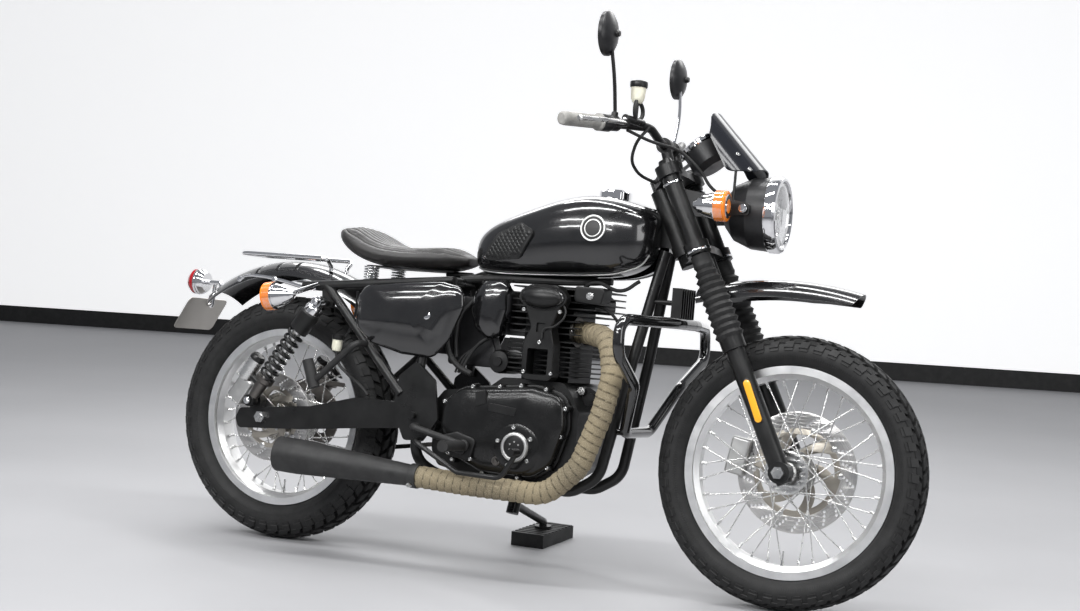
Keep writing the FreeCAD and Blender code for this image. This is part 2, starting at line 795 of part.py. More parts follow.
def fork():
    """Stem and clamps, fork tubes, gaiters, lower legs and the front axle."""
    half = fork_spacing / 2
    made = {}
    stem = Part.makeCylinder(stem_radius, upper_clamp_low + clamp_height - lower_clamp_low,
                             ORIGIN + UP * lower_clamp_low)
    for low in (lower_clamp_low, upper_clamp_low):
        stem = stem.fuse(fork_clamp(low))
    stem.Placement = fork_frame
    made["steering_stem"] = stem.fuse([bar_clamps()] + fender_posts())
    fork_top = upper_clamp_low + clamp_height
    cover_low = lower_clamp_low + clamp_height + seat_gap
    profile = [(fork_leg_top, 0), (fork_leg_top, fork_tube_radius), (cover_low, fork_tube_radius),
               (cover_low, fork_cover_radius), (upper_clamp_low - seat_gap, fork_cover_radius),
               (upper_clamp_low - seat_gap, fork_tube_radius), (fork_top, fork_tube_radius),
               (fork_top + fork_cap_height, fork_tube_radius * 0.8),
               (fork_top + fork_cap_height, 0)]
    fork_tube = turned(profile, on_fork(fork_offset, half, 0), steer_up)
    made["fork_tubes"] = both_sides(fork_tube.fuse(lamp_ear()))
    made["fork_gaiters"] = both_sides(turned(gaiter_profile(), on_fork(fork_offset, half, 0), steer_up))
    collar_low = fork_leg_top - fork_collar_radius
    leg = [(-fork_leg_drop, 0), (-fork_leg_drop, fork_leg_radius * 0.8), (0, fork_leg_radius),
           (collar_low, fork_leg_radius), (collar_low, fork_collar_radius),
           (fork_leg_top - seat_gap, fork_collar_radius), (fork_leg_top - seat_gap, 0)]
    lower = turned(leg, on_fork(fork_offset, half, 0), steer_up)
    lug = rod(front_axle + LEFT * (half - fork_leg_radius), front_axle + LEFT * (half + fork_leg_radius),
              axle_lug_radius)
    lower = lower.fuse(lug).cut(rod(front_axle, front_axle + LEFT * fork_spacing,
                                    front_axle_radius + seat_gap))
    made["fork_lowers"] = both_sides(lower)
    disc_side = front_disc_y + disc_thickness / 2 + fit_gap
    made["front_axle"] = axle(front_axle, front_axle_radius, half + fork_leg_radius + seat_gap,
                              (disc_side, front_hub_width / 2 + fit_gap),
                              half - fork_leg_radius - seat_gap, axle_lug_radius * 0.6,
                              axle_lug_radius * 0.5)
    return made


def gaiter_profile():
    """Bellows that narrow to a neck under the lower clamp."""
    inner = fork_tube_radius + seat_gap
    pitch = (gaiter_top - fork_leg_top) / (gaiter_folds + 1)
    outline = [(fork_leg_top, inner)]
    for fold in range(gaiter_folds):
        low = fork_leg_top + fold * pitch
        taper = 1.0 if fold < gaiter_folds - 3 else 1.0 - 0.1 * (fold - gaiter_folds + 4)
        outline += [(low, gaiter_small_radius * taper), (low + pitch / 2, gaiter_radius * taper)]
    outline += [(gaiter_top - pitch, gaiter_neck_radius), (gaiter_top, gaiter_neck_radius),
                (gaiter_top, inner)]
    return outline


def fender(centre, radius, half_width, drop, start, sweep):
    """A crowned blade bent round the wheel."""
    inner = radius - fender_thickness
    edge = radius - drop
    section = Part.Wire([
        arc_in_section((-half_width, edge), (0, radius), (half_width, edge)),
        line_in_section((half_width, edge), (half_width - fender_thickness, edge)),
        arc_in_section((half_width - fender_thickness, edge), (0, inner),
                       (-half_width + fender_thickness, edge)),
        line_in_section((-half_width + fender_thickness, edge), (-half_width, edge))])
    face = Part.Face(section)
    face.rotate(ORIGIN, LEFT, 90 - start)
    blade = face.revolve(ORIGIN, LEFT, -sweep)
    blade.translate(centre)
    return blade


def front_fender(grow):
    """The front fender between its pointed ends, or the same blade grown on its outside."""
    centre = front_axle + at(-front_fender_centre_back, 0, front_fender_crown - front_fender_radius)
    sweep = math.degrees(front_fender_sweep_share * front_fender_length / front_fender_radius)
    blade = fender(centre, front_fender_radius + grow, front_fender_half_width, front_fender_drop,
                   90 - sweep / 2, sweep)
    outline = scaled_outline(front_fender_shares, front_fender_rear_x, front_fender_low_z,
                             front_fender_length, front_fender_height)
    keep = side_plate(outline, clamp_edge * 0.5, -front_fender_half_width * 2, front_fender_half_width * 4)
    return blade.common(keep)


def fender_height(centre, x, y, radius, half_width, drop):
    """Height of a fender's crowned surface over a place on the ground."""
    section = (half_width ** 2 + drop ** 2) / (2 * drop)
    reach = radius - section + math.sqrt(section ** 2 - y ** 2)
    return centre.z + math.sqrt(reach ** 2 - (x - centre.x) ** 2)


def belt(small_centre, small, large_centre, large, grow, y, width):
    """A band that runs round two wheels, grown by a distance."""
    span = large_centre - small_centre
    turn = math.atan2(span.z, span.x)
    lean = math.acos((small - large) / span.Length)
    points = []
    for centre, radius, sign in ((small_centre, small + grow, 1), (large_centre, large + grow, 1),
                                 (large_centre, large + grow, -1), (small_centre, small + grow, -1)):
        angle = turn + sign * lean
        points.append(at(centre.x + radius * math.cos(angle), y, centre.z + radius * math.sin(angle)))
    away = span.normalize()
    far = at(large_centre.x, y, large_centre.z) + away * (large + grow)
    near = at(small_centre.x, y, small_centre.z) - away * (small + grow)
    wire = Part.Wire([
        Part.LineSegment(points[0], points[1]).toShape(),
        Part.Arc(points[1], far, points[2]).toShape(),
        Part.LineSegment(points[2], points[3]).toShape(),
        Part.Arc(points[3], near, points[0]).toShape()])
    return Part.Face(wire).extrude(LEFT * width)


def drive_chain():
    """The chain as one fixed loop round both sprockets."""
    front = at(front_sprocket_x, 0, front_sprocket_z)
    low_y = chain_y - chain_width / 2
    outer = belt(front, front_sprocket_radius, rear_axle, sprocket_radius,
                 chain_height, low_y, chain_width)
    inner = belt(front, front_sprocket_radius, rear_axle, sprocket_radius,
                 fit_gap, low_y - overrun, chain_width + overrun * 2)
    return outer.cut(inner)


def frame_tubes():
    """Head tube with spine, cradle tubes, rear rails with struts, and pivot plates."""
    made = {}
    head = Part.makeCylinder(head_tube_radius, head_tube_length, ORIGIN + UP * head_low)
    head.Placement = fork_frame
    head_middle = on_fork(0, 0, head_low + head_tube_length * spine_head_share)
    spine_rear = at(spine_rear_x, 0, spine_rear_z)
    along = (head_middle - spine_rear).normalize()
    spine_end = spine_rear + along * (cross_tube_radius + seat_gap)
    spine = head.fuse(rod(spine_end, head_middle, spine_radius))
    neck = on_fork(0, 0, head_low + clamp_edge)
    knee = spine_end + (head_middle - spine_end) * 0.66
    gusset = side_plate([(neck.x, neck.z), (head_middle.x, head_middle.z), (knee.x, knee.z)], clamp_edge,
                        -spine_radius, spine_radius * 2)
    tank_rest = spine_end + (head_middle - spine_end) * tank_rest_share
    reach = LEFT * (spine_radius + tank_tunnel_gap - seat_gap)
    spine = spine.fuse([gusset, rod(tank_rest - reach, tank_rest + reach, pivot_bolt_radius)])
    bore = Part.makeCylinder(stem_radius + fit_gap, head_tube_length * 2,
                             ORIGIN + UP * (head_low - head_tube_length / 2))
    bore.Placement = fork_frame
    made["frame_spine"] = spine.cut(bore)

    top, bend, foot = down_tube()
    tail_y = pivot_plate_y - frame_tube_radius - seat_gap
    route = [top, bend, foot,
             at(down_tube_foot_x - frame_tube_radius * 5, cradle_half_width, cradle_z),
             at(pivot_x + frame_tube_radius * 3, cradle_half_width, cradle_z),
             at(pivot_x + frame_tube_radius * 0.5, tail_y, cradle_z + frame_tube_radius * 3),
             at(pivot_x, tail_y, pivot_z - arm_height * 0.31)]
    side = tube(route, frame_tube_radius, frame_tube_radius * 5)
    cradle = side.fuse(mirrored(side))
    level = regulator_z() + regulator_length / 2
    hold = top + (bend - top) * ((top.z - level) / (top.z - bend.z))
    for y in (-hold.y, hold.y):
        cradle = cradle.fuse(rod(at(hold.x, y, hold.z), at(regulator_x() - seat_gap, y, hold.z),
                                 frame_tube_radius * 0.4))
    for x in (down_tube_foot_x - frame_tube_radius * 8, pivot_x + frame_tube_radius * 8):
        cradle = cradle.fuse(rod(at(x, -cradle_half_width, cradle_z), at(x, cradle_half_width, cradle_z),
                                 frame_tube_radius * 0.8))
    made["frame_cradle"] = cradle.fuse([stand_bracket()] + front_mount())
    return made


def front_mount():
    """Two plates from the down tubes to the crankcase's ear, with the bolt through it."""
    bolt = mount_bolt()
    bend, foot = down_tube()[1:]
    hold = foot + (bend - foot) * ((bolt.z - foot.z) / (bend.z - foot.z))
    edge = clamp_edge * 0.8
    outline = [(hold.x, hold.z - edge * 2), (bolt.x, bolt.z - edge), (bolt.x - edge, bolt.z),
               (bolt.x, bolt.z + edge), (hold.x, hold.z + edge * 2)]
    plate = side_plate(outline, edge * 0.7, mount_ear_half_width + seat_gap, mount_ear_thickness)
    outside = mount_ear_half_width + seat_gap + mount_ear_thickness
    shaft = rod(bolt - LEFT * outside, bolt + LEFT * outside, mount_bolt_radius)
    heads = [hexagon(bolt + LEFT * side * outside, LEFT * side, mount_bolt_radius * 1.7, mount_bolt_radius)
             for side in (-1, 1)]
    return [plate, mirrored(plate), shaft] + heads


def rear_frame():
    """Seat rails, struts, pivot plates and the shock mounts of both sides."""
    rail_front = at(spine_rear_x, rail_half_width, spine_rear_z)
    rail_rear = at(rail_rear_x, rail_half_width, rail_rear_z)
    rail = rod(rail_front, rail_rear, strut_tube_radius)
    plate_low = pivot_z - pivot_plate_height * 0.32
    plate = side_plate(scaled_outline(pivot_plate_shares, pivot_x - pivot_plate_length * 0.46,
                                      plate_low, pivot_plate_length, pivot_plate_height),
                       clamp_edge, pivot_plate_y, pivot_plate_thickness)
    plate_middle = pivot_plate_y + pivot_plate_thickness / 2
    strut = rod(*strut_line(), strut_tube_radius)
    post = rod(rail_front + (rail_rear - rail_front) * 0.12,
               at(pivot_x, plate_middle - strut_tube_radius, plate_low + pivot_plate_height * 0.84),
               strut_tube_radius)
    shock_top = at(shock_top_x, 0, shock_top_z)
    hanger = side_plate([(shock_top_x - shock_eye_radius, shock_top_z - shock_eye_radius * 0.8),
                         (shock_top_x + shock_eye_radius, shock_top_z - shock_eye_radius * 0.8),
                         (shock_top_x + shock_eye_radius * 1.4, rail_rear_z + strut_tube_radius),
                         (shock_top_x - shock_eye_radius * 1.4, rail_rear_z + strut_tube_radius)],
                        strut_tube_radius * 0.5, rail_half_width - strut_tube_radius / 2,
                        strut_tube_radius)
    stud = rod(shock_top + LEFT * rail_half_width,
               shock_top + LEFT * (shock_y + shock_eye_width / 2 + clamp_edge / 2), pivot_bolt_radius * 0.8)
    bolt = rod(at(pivot_x, 0, pivot_z),
               at(pivot_x, pivot_plate_y + pivot_plate_thickness + clamp_edge, pivot_z), pivot_bolt_radius)
    side = rail.fuse([plate, strut, post, hanger, stud, bolt])
    whole = side.fuse(mirrored(side))
    spring_share = (spring_x - spine_rear_x) / (rail_rear_x - spine_rear_x)
    for share in sorted(cross_tube_shares + [spring_share]):
        place = rail_front + (rail_rear - rail_front) * share
        whole = whole.fuse(rod(at(place.x, -rail_half_width, place.z), place, cross_tube_radius))
    under = fender_height(rear_axle, place.x, 0, rear_fender_radius - fender_thickness,
                          rear_fender_half_width, rear_fender_drop)
    return whole.fuse(rod(at(place.x, 0, place.z), at(place.x, 0, under - clamp_edge * 0.15),
                          strut_tube_radius / 2))


def strut_line():
    """Top and bottom of the left strut between the seat rail and the pivot plate."""
    share = 0.84
    top = at(spine_rear_x + (rail_rear_x - spine_rear_x) * share, rail_half_width,
             spine_rear_z + (rail_rear_z - spine_rear_z) * share)
    foot = at(pivot_x - pivot_plate_length * 0.30, pivot_plate_y + pivot_plate_thickness / 2,
              pivot_z + pivot_plate_height * 0.25)
    return top, foot


def swing_arm():
    """Two box arms on a cross tube, with the lower shock mounts and the axle holes."""
    tail_x = rear_axle.x - arm_tail
    front_x = pivot_x + arm_cross_radius * 1.5
    low_z = rear_axle.z - arm_height * 0.32
    outline = scaled_outline(arm_outline_shares, tail_x, low_z, front_x - tail_x, arm_height)
    arm = side_plate(outline, clamp_edge, arm_y - arm_thickness / 2, arm_thickness)
    pivot = at(pivot_x, 0, pivot_z)
    foot = at(shock_foot_x, 0, shock_foot_z)
    lug = rod(foot + LEFT * (arm_y - arm_thickness / 2), foot + LEFT * (arm_y + arm_thickness / 2),
              shock_eye_radius)
    behind = shock_foot_x - shock_eye_radius
    before = shock_foot_x + shock_eye_radius
    web = side_plate([(behind, rear_axle.z), (before, rear_axle.z), (before, shock_foot_z),
                      (behind, shock_foot_z)], clamp_edge / 2, arm_y - arm_thickness / 2, arm_thickness)
    stud = rod(foot + LEFT * arm_y, foot + LEFT * (shock_y + shock_eye_width / 2 + clamp_edge / 2),
               pivot_bolt_radius * 0.8)
    side = arm.fuse([lug, web, stud])
    cross = rod(pivot, pivot + LEFT * (arm_y + arm_thickness / 2), arm_cross_radius)
    brace_x = pivot_x - arm_cross_radius * 3.6
    brace = rod(at(brace_x, 0, pivot_z), at(brace_x, arm_y, pivot_z), arm_cross_radius * 0.9)
    side = side.fuse([cross, brace])
    whole = side.fuse(mirrored(side))
    whole = whole.cut(rod(rear_axle - LEFT * shock_y, rear_axle + LEFT * shock_y,
                          rear_axle_radius + seat_gap))
    return whole.cut(rod(pivot - LEFT * shock_y, pivot + LEFT * shock_y, pivot_bolt_radius + seat_gap))


def shocks():
    """Two gas shocks, each with eyes, a shroud, its spring and a reservoir."""
    top = at(shock_top_x, shock_y, shock_top_z)
    foot = at(shock_foot_x, shock_y, shock_foot_z)
    length = (foot - top).Length
    down = (foot - top).normalize()
    profile = [(0.03 * length, 0), (0.03 * length, shock_radius * 0.6), (0.06 * length, shock_radius),
               (0.28 * length, shock_radius), (0.29 * length, shock_radius * 0.82),
               (0.76 * length, shock_radius * 0.82), (0.765 * length, shock_radius * 0.95),
               (0.80 * length, shock_radius * 0.95), (0.81 * length, shock_radius * 0.62),
               (0.96 * length, shock_radius * 0.5), (0.96 * length, 0)]
    body = turned(profile, top, down)
    eyes = [rod(end - LEFT * shock_eye_width / 2, end + LEFT * shock_eye_width / 2, shock_eye_radius)
            for end in (top, foot)]
    aside = LEFT.cross(down)
    aside = aside * (-1 if aside.x > 0 else 1)
    can_foot = foot - down * length * 0.10 + aside * reservoir_reach
    can = turned([(0, 0), (0, reservoir_radius * 0.8), (reservoir_length * 0.08, reservoir_radius),
                  (reservoir_length * 0.92, reservoir_radius), (reservoir_length, reservoir_radius * 0.8),
                  (reservoir_length, 0)], can_foot, down * -1)
    neck = rod(foot - down * length * 0.16, can_foot - down * length * 0.06, reservoir_radius * 0.55)
    shock = body.fuse(eyes + [can, neck])
    for end in (top, foot):
        shock = shock.cut(rod(end - LEFT * shock_eye_width, end + LEFT * shock_eye_width,
                              pivot_bolt_radius * 0.8 + seat_gap))
    return both_sides(shock)


def case_outline():
    """The crankcase seen from the side."""
    return scaled_outline(case_outline_shares, case_rear_x, case_foot_z, case_length, case_height)


def crankcase():
    """The case with the pocket, shaft and sprocket of the chain and the front mounting ear."""
    case = side_plate(case_outline(), clamp_edge * 1.4, -case_half_width, case_half_width * 2)
    mount_z = pivot_z - pivot_plate_height * 0.1
    mount = rod(at(case_rear_x + clamp_edge, -pivot_plate_y + seat_gap, mount_z),
                at(case_rear_x + clamp_edge, pivot_plate_y - seat_gap, mount_z), pivot_bolt_radius * 1.4)
    pocket_y = chain_y - chain_width / 2 - overrun
    pocket_x = front_sprocket_x + front_sprocket_radius + chain_height + overrun
    pocket = box(case_rear_x - overrun, pocket_y, case_foot_z - overrun, pocket_x - case_rear_x + overrun,
                 case_half_width, case_height + overrun * 2)
    shaft = at(front_sprocket_x, pocket_y - overrun, front_sprocket_z)
    sprocket = rod(at(shaft.x, chain_y - sprocket_thickness / 2, shaft.z),
                   at(shaft.x, chain_y + sprocket_thickness / 2, shaft.z), front_sprocket_radius)
    case = case.cut(pocket).fuse([rod(shaft, at(shaft.x, chain_y, shaft.z), clamp_edge), sprocket])
    ear = side_plate(scaled_outline(mount_ear_shares, case_front_x, case_foot_z, case_length, case_height),
                     clamp_edge * 0.6, -mount_ear_half_width, mount_ear_half_width * 2)
    hole = rod(mount_bolt() - LEFT * case_half_width, mount_bolt() + LEFT * case_half_width,
               mount_bolt_radius + seat_gap)
    return case.fuse([mount, ear]).cut(hole)


def mount_bolt():
    """The middle of the bolt through the crankcase's front ear."""
    return at(case_front_x + clamp_edge * 0.6, 0, case_foot_z + case_height * 0.88)


def rounded_plate(outline, bend, y, thickness, rounding):
    """A plate with its outer rim rounded, from y to the outside on the right."""
    plate = side_plate(outline, bend, y - thickness, thickness)
    rim_edges = [edge for edge in plate.Edges if abs(edge.BoundBox.YMax - y + thickness) < seat_gap]
    return plate.makeFillet(rounding, rim_edges)


def clutch_cover():
    """The large right-hand cover with its clutch dome, ring, filter cover and blank lands."""
    face_y = -case_half_width - cover_depth
    sizes = (case_rear_x, case_foot_z, case_length, case_height)
    cover = rounded_plate(scaled_outline(cover_outline_shares, *sizes), case_height * 0.22,
                          -case_half_width - seat_gap, cover_depth - seat_gap, cover_rounding)
    middle = at(clutch_x, face_y, clutch_z)
    dome = turned([(-clamp_edge, 0), (-clamp_edge, clutch_radius), (clutch_dome_depth * 0.3, clutch_radius),
                   (clutch_dome_depth, clutch_radius * 0.84), (clutch_dome_depth, 0)], middle, LEFT * -1)
    ring = turned([(0, 0), (0, clutch_ring_radius * 1.16), (clutch_ring_depth, clutch_ring_radius * 1.06),
                   (clutch_ring_depth * 1.5, clutch_ring_radius * 0.96),
                   (clutch_ring_depth * 1.5, clutch_ring_radius * 0.76),
                   (clutch_ring_depth * 1.1, clutch_ring_radius * 0.7), (clutch_ring_depth * 1.1, 0)],
                  middle, LEFT * -1)
    filter_cover = rounded_plate(scaled_outline(filter_cover_shares, *sizes), clamp_edge,
                                 face_y + clamp_edge * 0.5, filter_cover_depth + clamp_edge * 0.5,
                                 clamp_edge * 0.3)
    lands = [side_plate(scaled_outline(shares, *sizes), clamp_edge * 0.2, face_y - raised_land_depth,
                        raised_land_depth * 2) for shares in (raised_land_shares, wedge_land_shares)]
    plug = at(case_rear_x + case_length * sight_plug_share, face_y + clamp_edge * 0.5,
              case_foot_z + case_height * sight_plug_height_share)
    plug = rod(plug, plug - LEFT * clamp_edge, sight_plug_radius)
    return cover.fuse([dome, ring, filter_cover, plug] + lands)


def left_cover():
    """The round generator cover with the sprocket cover behind it."""
    middle = at(generator_x, case_half_width + seat_gap, clutch_z)
    round_cover = turned([(0, 0), (0, generator_radius), (cover_depth * 0.6, generator_radius),
                          (cover_depth * 0.85, generator_radius * 0.9),
                          (cover_depth, generator_radius * 0.72), (cover_depth, generator_radius * 0.4),
                          (cover_depth * 0.9, generator_radius * 0.36), (cover_depth * 0.9, 0)],
                         middle, LEFT)
    outline = scaled_outline(sprocket_cover_shares, case_rear_x, case_foot_z, case_length, case_height)
    plate = side_plate(outline, clamp_edge, case_half_width + seat_gap, cover_depth * 0.4)
    return round_cover.fuse(plate)


def cylinder_and_head():
    """The finned cylinder, and the head whose upper fins reach forward over the exhaust."""
    core = box(cylinder_x - cylinder_half_length, -cylinder_half_width, case_top_z + seat_gap,
               cylinder_half_length * 2, cylinder_half_width * 2, cylinder_height - seat_gap)
    pitch = cylinder_height / (cylinder_fin_count + 1)
    for index in range(cylinder_fin_count):
        core = core.fuse(fin(fin_reach, fin_reach, case_top_z + pitch * (index + 1)))
    head_low_z = head_seat_z + seat_gap
    top_z = head_low_z + head_height + cover_height
    block = box(cylinder_x - cylinder_half_length, -cylinder_half_width, head_low_z,
                cylinder_half_length * 2, cylinder_half_width * 2, head_height)
    port = port_place()
    clear_z = port.z + pipe_radius + fin_thickness
    pitch = (head_height + cover_height) / head_fin_count
    for index in range(head_fin_count):
        low_z = head_low_z + pitch * (index + 0.5)
        forward = head_front_reach if low_z > clear_z else head_fin_reach
        block = block.fuse(fin(forward, head_fin_reach, low_z))
    reach = cylinder_half_length + head_fin_reach * 0.7
    lid_z = head_low_z + head_height
    lid = side_plate([(cylinder_x - reach, lid_z), (cylinder_x + reach * 1.36, lid_z),
                      (cylinder_x + reach * 1.36, lid_z + cover_height * 0.6), (cylinder_x + reach, top_z),
                      (cylinder_x - reach * 0.7, top_z), (cylinder_x - reach, lid_z + cover_height * 0.75)],
                     clamp_edge, -cylinder_half_width * 0.94, cylinder_half_width * 1.88)
    inlet_z = inlet_height()
    inlet_x = cylinder_x - cylinder_half_length - seat_gap
    way_out = rod(port, port + FORWARD * head_front_reach * 2, pipe_radius + clamp_edge / 2)
    core = core.cut(way_out)
    block = block.cut(way_out)
    block = block.cut(rod(at(inlet_x, 0, inlet_z), at(inlet_x - head_fin_reach * 2, 0, inlet_z),
                          intake_radius + clamp_edge / 2))
    return core, block.fuse(lid)


def cam_tower():
    """The keyhole housing beside the cylinder: a domed top, a neck and an open frame below."""
    tower_y = -cylinder_half_width - fin_reach - cam_tower_gap
    height = head_seat_z + head_height + cover_height - case_top_z
    sizes = (cylinder_x - cam_tower_width * 0.385, case_top_z + seat_gap, cam_tower_width, height)
    face_y = tower_y - cam_tower_depth
    tower = rounded_plate(scaled_outline(cam_tower_shares, *sizes), clamp_edge * 1.2, tower_y,
                          cam_tower_depth, clamp_edge * 0.3)
    window = side_plate(scaled_outline(cam_window_shares, *sizes), clamp_edge * 0.3, face_y - overrun,
                        cam_tower_depth + overrun * 2)
    recess = side_plate(scaled_outline(cam_recess_shares, *sizes), clamp_edge * 0.2, face_y - overrun,
                        overrun * 2)
    centre = at(sizes[0] + cam_tower_width / 2, 0, case_top_z + height * cam_dome_centre_share)
    stretch = FreeCAD.Matrix()
    stretch.scale(cam_dome_length / cam_dome_height, 1, 1)
    dome = Part.makeSphere(cam_dome_height / 2).transformGeometry(stretch)
    dome.translate(at(centre.x, face_y, centre.z))
    return tower.cut(window.fuse(recess)).fuse(dome)


def engine():
    """Crankcase with its covers, the finned cylinder and head, and the cam tower."""
    made = {"crankcase": crankcase(), "clutch_cover": clutch_cover(), "left_cover": left_cover()}
    made["cylinder"], made["cylinder_head"] = cylinder_and_head()
    made["cam_tower"] = cam_tower()
    return made


def fin(forward, backward, z):
    """One rounded cooling fin round the cylinder."""
    front_x = cylinder_x + cylinder_half_length + forward
    rear_x = cylinder_x - cylinder_half_length - backward
    half_y = cylinder_half_width + fin_reach
    outline = [at(rear_x, -half_y, z), at(front_x, -half_y, z), at(front_x, half_y, z), at(rear_x, half_y, z)]
    return Part.Face(round_outline(outline, clamp_edge * 1.6)).extrude(UP * fin_thickness)


def inlet_height():
    """The height of the inlet's middle."""
    return head_seat_z + head_height * 0.6


def intake():
    """Inlet stub and carburettor behind the head, under a round cover on the right."""
    z = inlet_height()
    rear_x = cylinder_x - cylinder_half_length - head_fin_reach
    block_x = rear_x - intake_block_length - clamp_edge
    stub = rod(at(block_x + clamp_edge, 0, z), at(rear_x + head_fin_reach - seat_gap, 0, z), intake_radius)
    block = box(block_x, -intake_block_width * 0.6, z - intake_block_height * 0.4, intake_block_length,
                intake_block_width, intake_block_height)
    boot_end = at(air_box_rear_x + air_box_length - clamp_edge, 0, z - clamp_edge)
    boot = rod(at(block_x + clamp_edge, 0, z), boot_end, intake_radius * 1.2)
    outline = scaled_outline(intake_cover_shares, block_x - clamp_edge * 0.6, z - intake_cover_height * 0.36,
                             intake_cover_length, intake_cover_height)
    cover = rounded_plate(outline, intake_cover_length * 0.3, -intake_block_width * 0.6 + clamp_edge,
                          intake_cover_depth + clamp_edge, clamp_edge * 0.8)
    return stub.fuse([block, boot, cover])


def port_place():
    """The middle of the exhaust port on the head's front face."""
    return at(cylinder_x + cylinder_half_length + seat_gap, port_y, head_seat_z + head_height * 0.27)


def exhaust():
    """Header pipe from the port down, back and along to the muffler."""
    port = port_place()
    reach = case_front_x - port.x + pipe_front_gap
    drop = port.z - pipe_low_z
    points = [at(port.x + reach * x, port_y + (pipe_side_y - port_y) * y, port.z + drop * z)
              for x, y, z in pipe_route_shares]
    end = at(-case_length * 0.52, muffler_y, pipe_low_z + muffler_rise * 0.5)
    along = at(-muffler_length, -muffler_rise, muffler_rise * 0.8).normalize()
    points += [end - along * pipe_radius * 5, end]
    header = tube(points, pipe_radius, pipe_radius * 3.2)
    cone = turned([(seat_gap, 0), (seat_gap, muffler_front_radius),
                   (muffler_length * 0.80, muffler_rear_radius), (muffler_length * 0.94, muffler_rear_radius),
                   (muffler_length * 0.94, muffler_rear_radius - muffler_wall),
                   (muffler_length * 0.80, muffler_rear_radius - muffler_wall), (muffler_length * 0.80, 0)],
                  end, along)
    return header, cone


def tank_and_pads():
    """The fuel tank over the spine, its cap and the two knee pads."""
    made = {}
    tank = lofted(tank_section_shares, tank_rear_x, tank_foot_z, tank_length, tank_half_width,
                  tank_height, tank_squareness_share)
    middle = on_fork(0, 0, head_low + head_tube_length * spine_head_share)
    rear = at(spine_rear_x, 0, spine_rear_z)
    along = (middle - rear).normalize()
    side_step = UP * (spine_radius + tank_tunnel_gap)
    sink = UP * tank_height
    start = rear - along * tank_height
    stop = middle + along * tank_height
    tunnel = Part.Face(Part.makePolygon([start + side_step, stop + side_step, stop - sink, start - sink,
                                         start + side_step]))
    half = spine_radius + tank_tunnel_gap
    tunnel.translate(LEFT * -half)
    tank = tank.cut(tunnel.extrude(LEFT * (half * 2)))
    notch = rod(on_fork(0, 0, head_low - head_tube_length), on_fork(0, 0, head_low + head_tube_length * 2),
                head_tube_radius + tank_tunnel_gap)
    made["fuel_tank"] = tank.cut(notch)
    return made


def tank_trim(tank):
    """The filler cap, and a knee pad on each side of the tank."""
    top = at(cap_x, 0, tank_foot_z + tank_height * 0.96)
    cap = turned([(0, 0), (0, cap_radius), (cap_height * 1.4, cap_radius),
                  (cap_height * 1.8, cap_radius * 0.8), (cap_height * 1.8, 0)], top, UP).cut(tank)
    outline = scaled_outline(pad_shares, tank_rear_x + tank_length * 0.07, tank_foot_z + tank_height * 0.14,
                             pad_length, pad_height)
    slab = side_plate(outline, clamp_edge, 0, tank_half_width * 1.4)
    wide = lofted([(along, across + pad_depth / tank_half_width, low, high)
                   for along, across, low, high in tank_section_shares],
                  tank_rear_x, tank_foot_z, tank_length, tank_half_width, tank_height, tank_squareness_share)
    pads = []
    for piece in (slab, mirrored(slab)):
        pad = piece.common(wide).cut(tank)
        pads.append(max(pad.Solids, key=lambda solid: abs(solid.CenterOfMass.y)))
    return cap, Part.makeCompound(pads)


def seat_and_frame():
    """The solo seat, its pan with the front bracket, and its coil springs."""
    seat = lofted(seat_section_shares, seat_rear_x, seat_foot_z, seat_length, seat_half_width, seat_rise,
                  seat_squareness_share)
    pan_low = seat_foot_z - seat_gap - seat_pan_thickness
    front_x = seat_rear_x + seat_length
    pan_outline = [at(front_x - seat_length * x, seat_half_width * y, pan_low) for x, y in pan_shares]
    pan = Part.Face(round_outline(pan_outline, clamp_edge)).extrude(UP * seat_pan_thickness)
    rail_z = rail_height(spring_x) + cross_tube_radius + seat_gap
    hinge_x = spine_rear_x - strut_tube_radius * 0.5
    hinge_radius = pivot_bolt_radius * 0.8
    hinge = tube([at(front_x - seat_length * 0.22, 0, pan_low - hinge_radius / 2),
                  at(hinge_x, 0, pan_low - hinge_radius / 2),
                  at(hinge_x, 0, spine_rear_z + cross_tube_radius + fit_gap)], hinge_radius, hinge_radius)
    frame = pan.fuse(hinge)
    made = {"seat": seat.cut(frame), "seat_frame": frame}
    coil = turned([(0, spring_radius - spring_wire), (0, spring_radius), (pan_low - rail_z, spring_radius),
                   (pan_low - rail_z, spring_radius - spring_wire)], at(spring_x, spring_y, rail_z), UP)
    made["seat_springs"] = both_sides(coil)
    return made


def rail_height(x):
    """Height of the seat rails' centre line at a place along the machine."""
    share = (x - spine_rear_x) / (rail_rear_x - spine_rear_x)
    return spine_rear_z + share * (rail_rear_z - spine_rear_z)


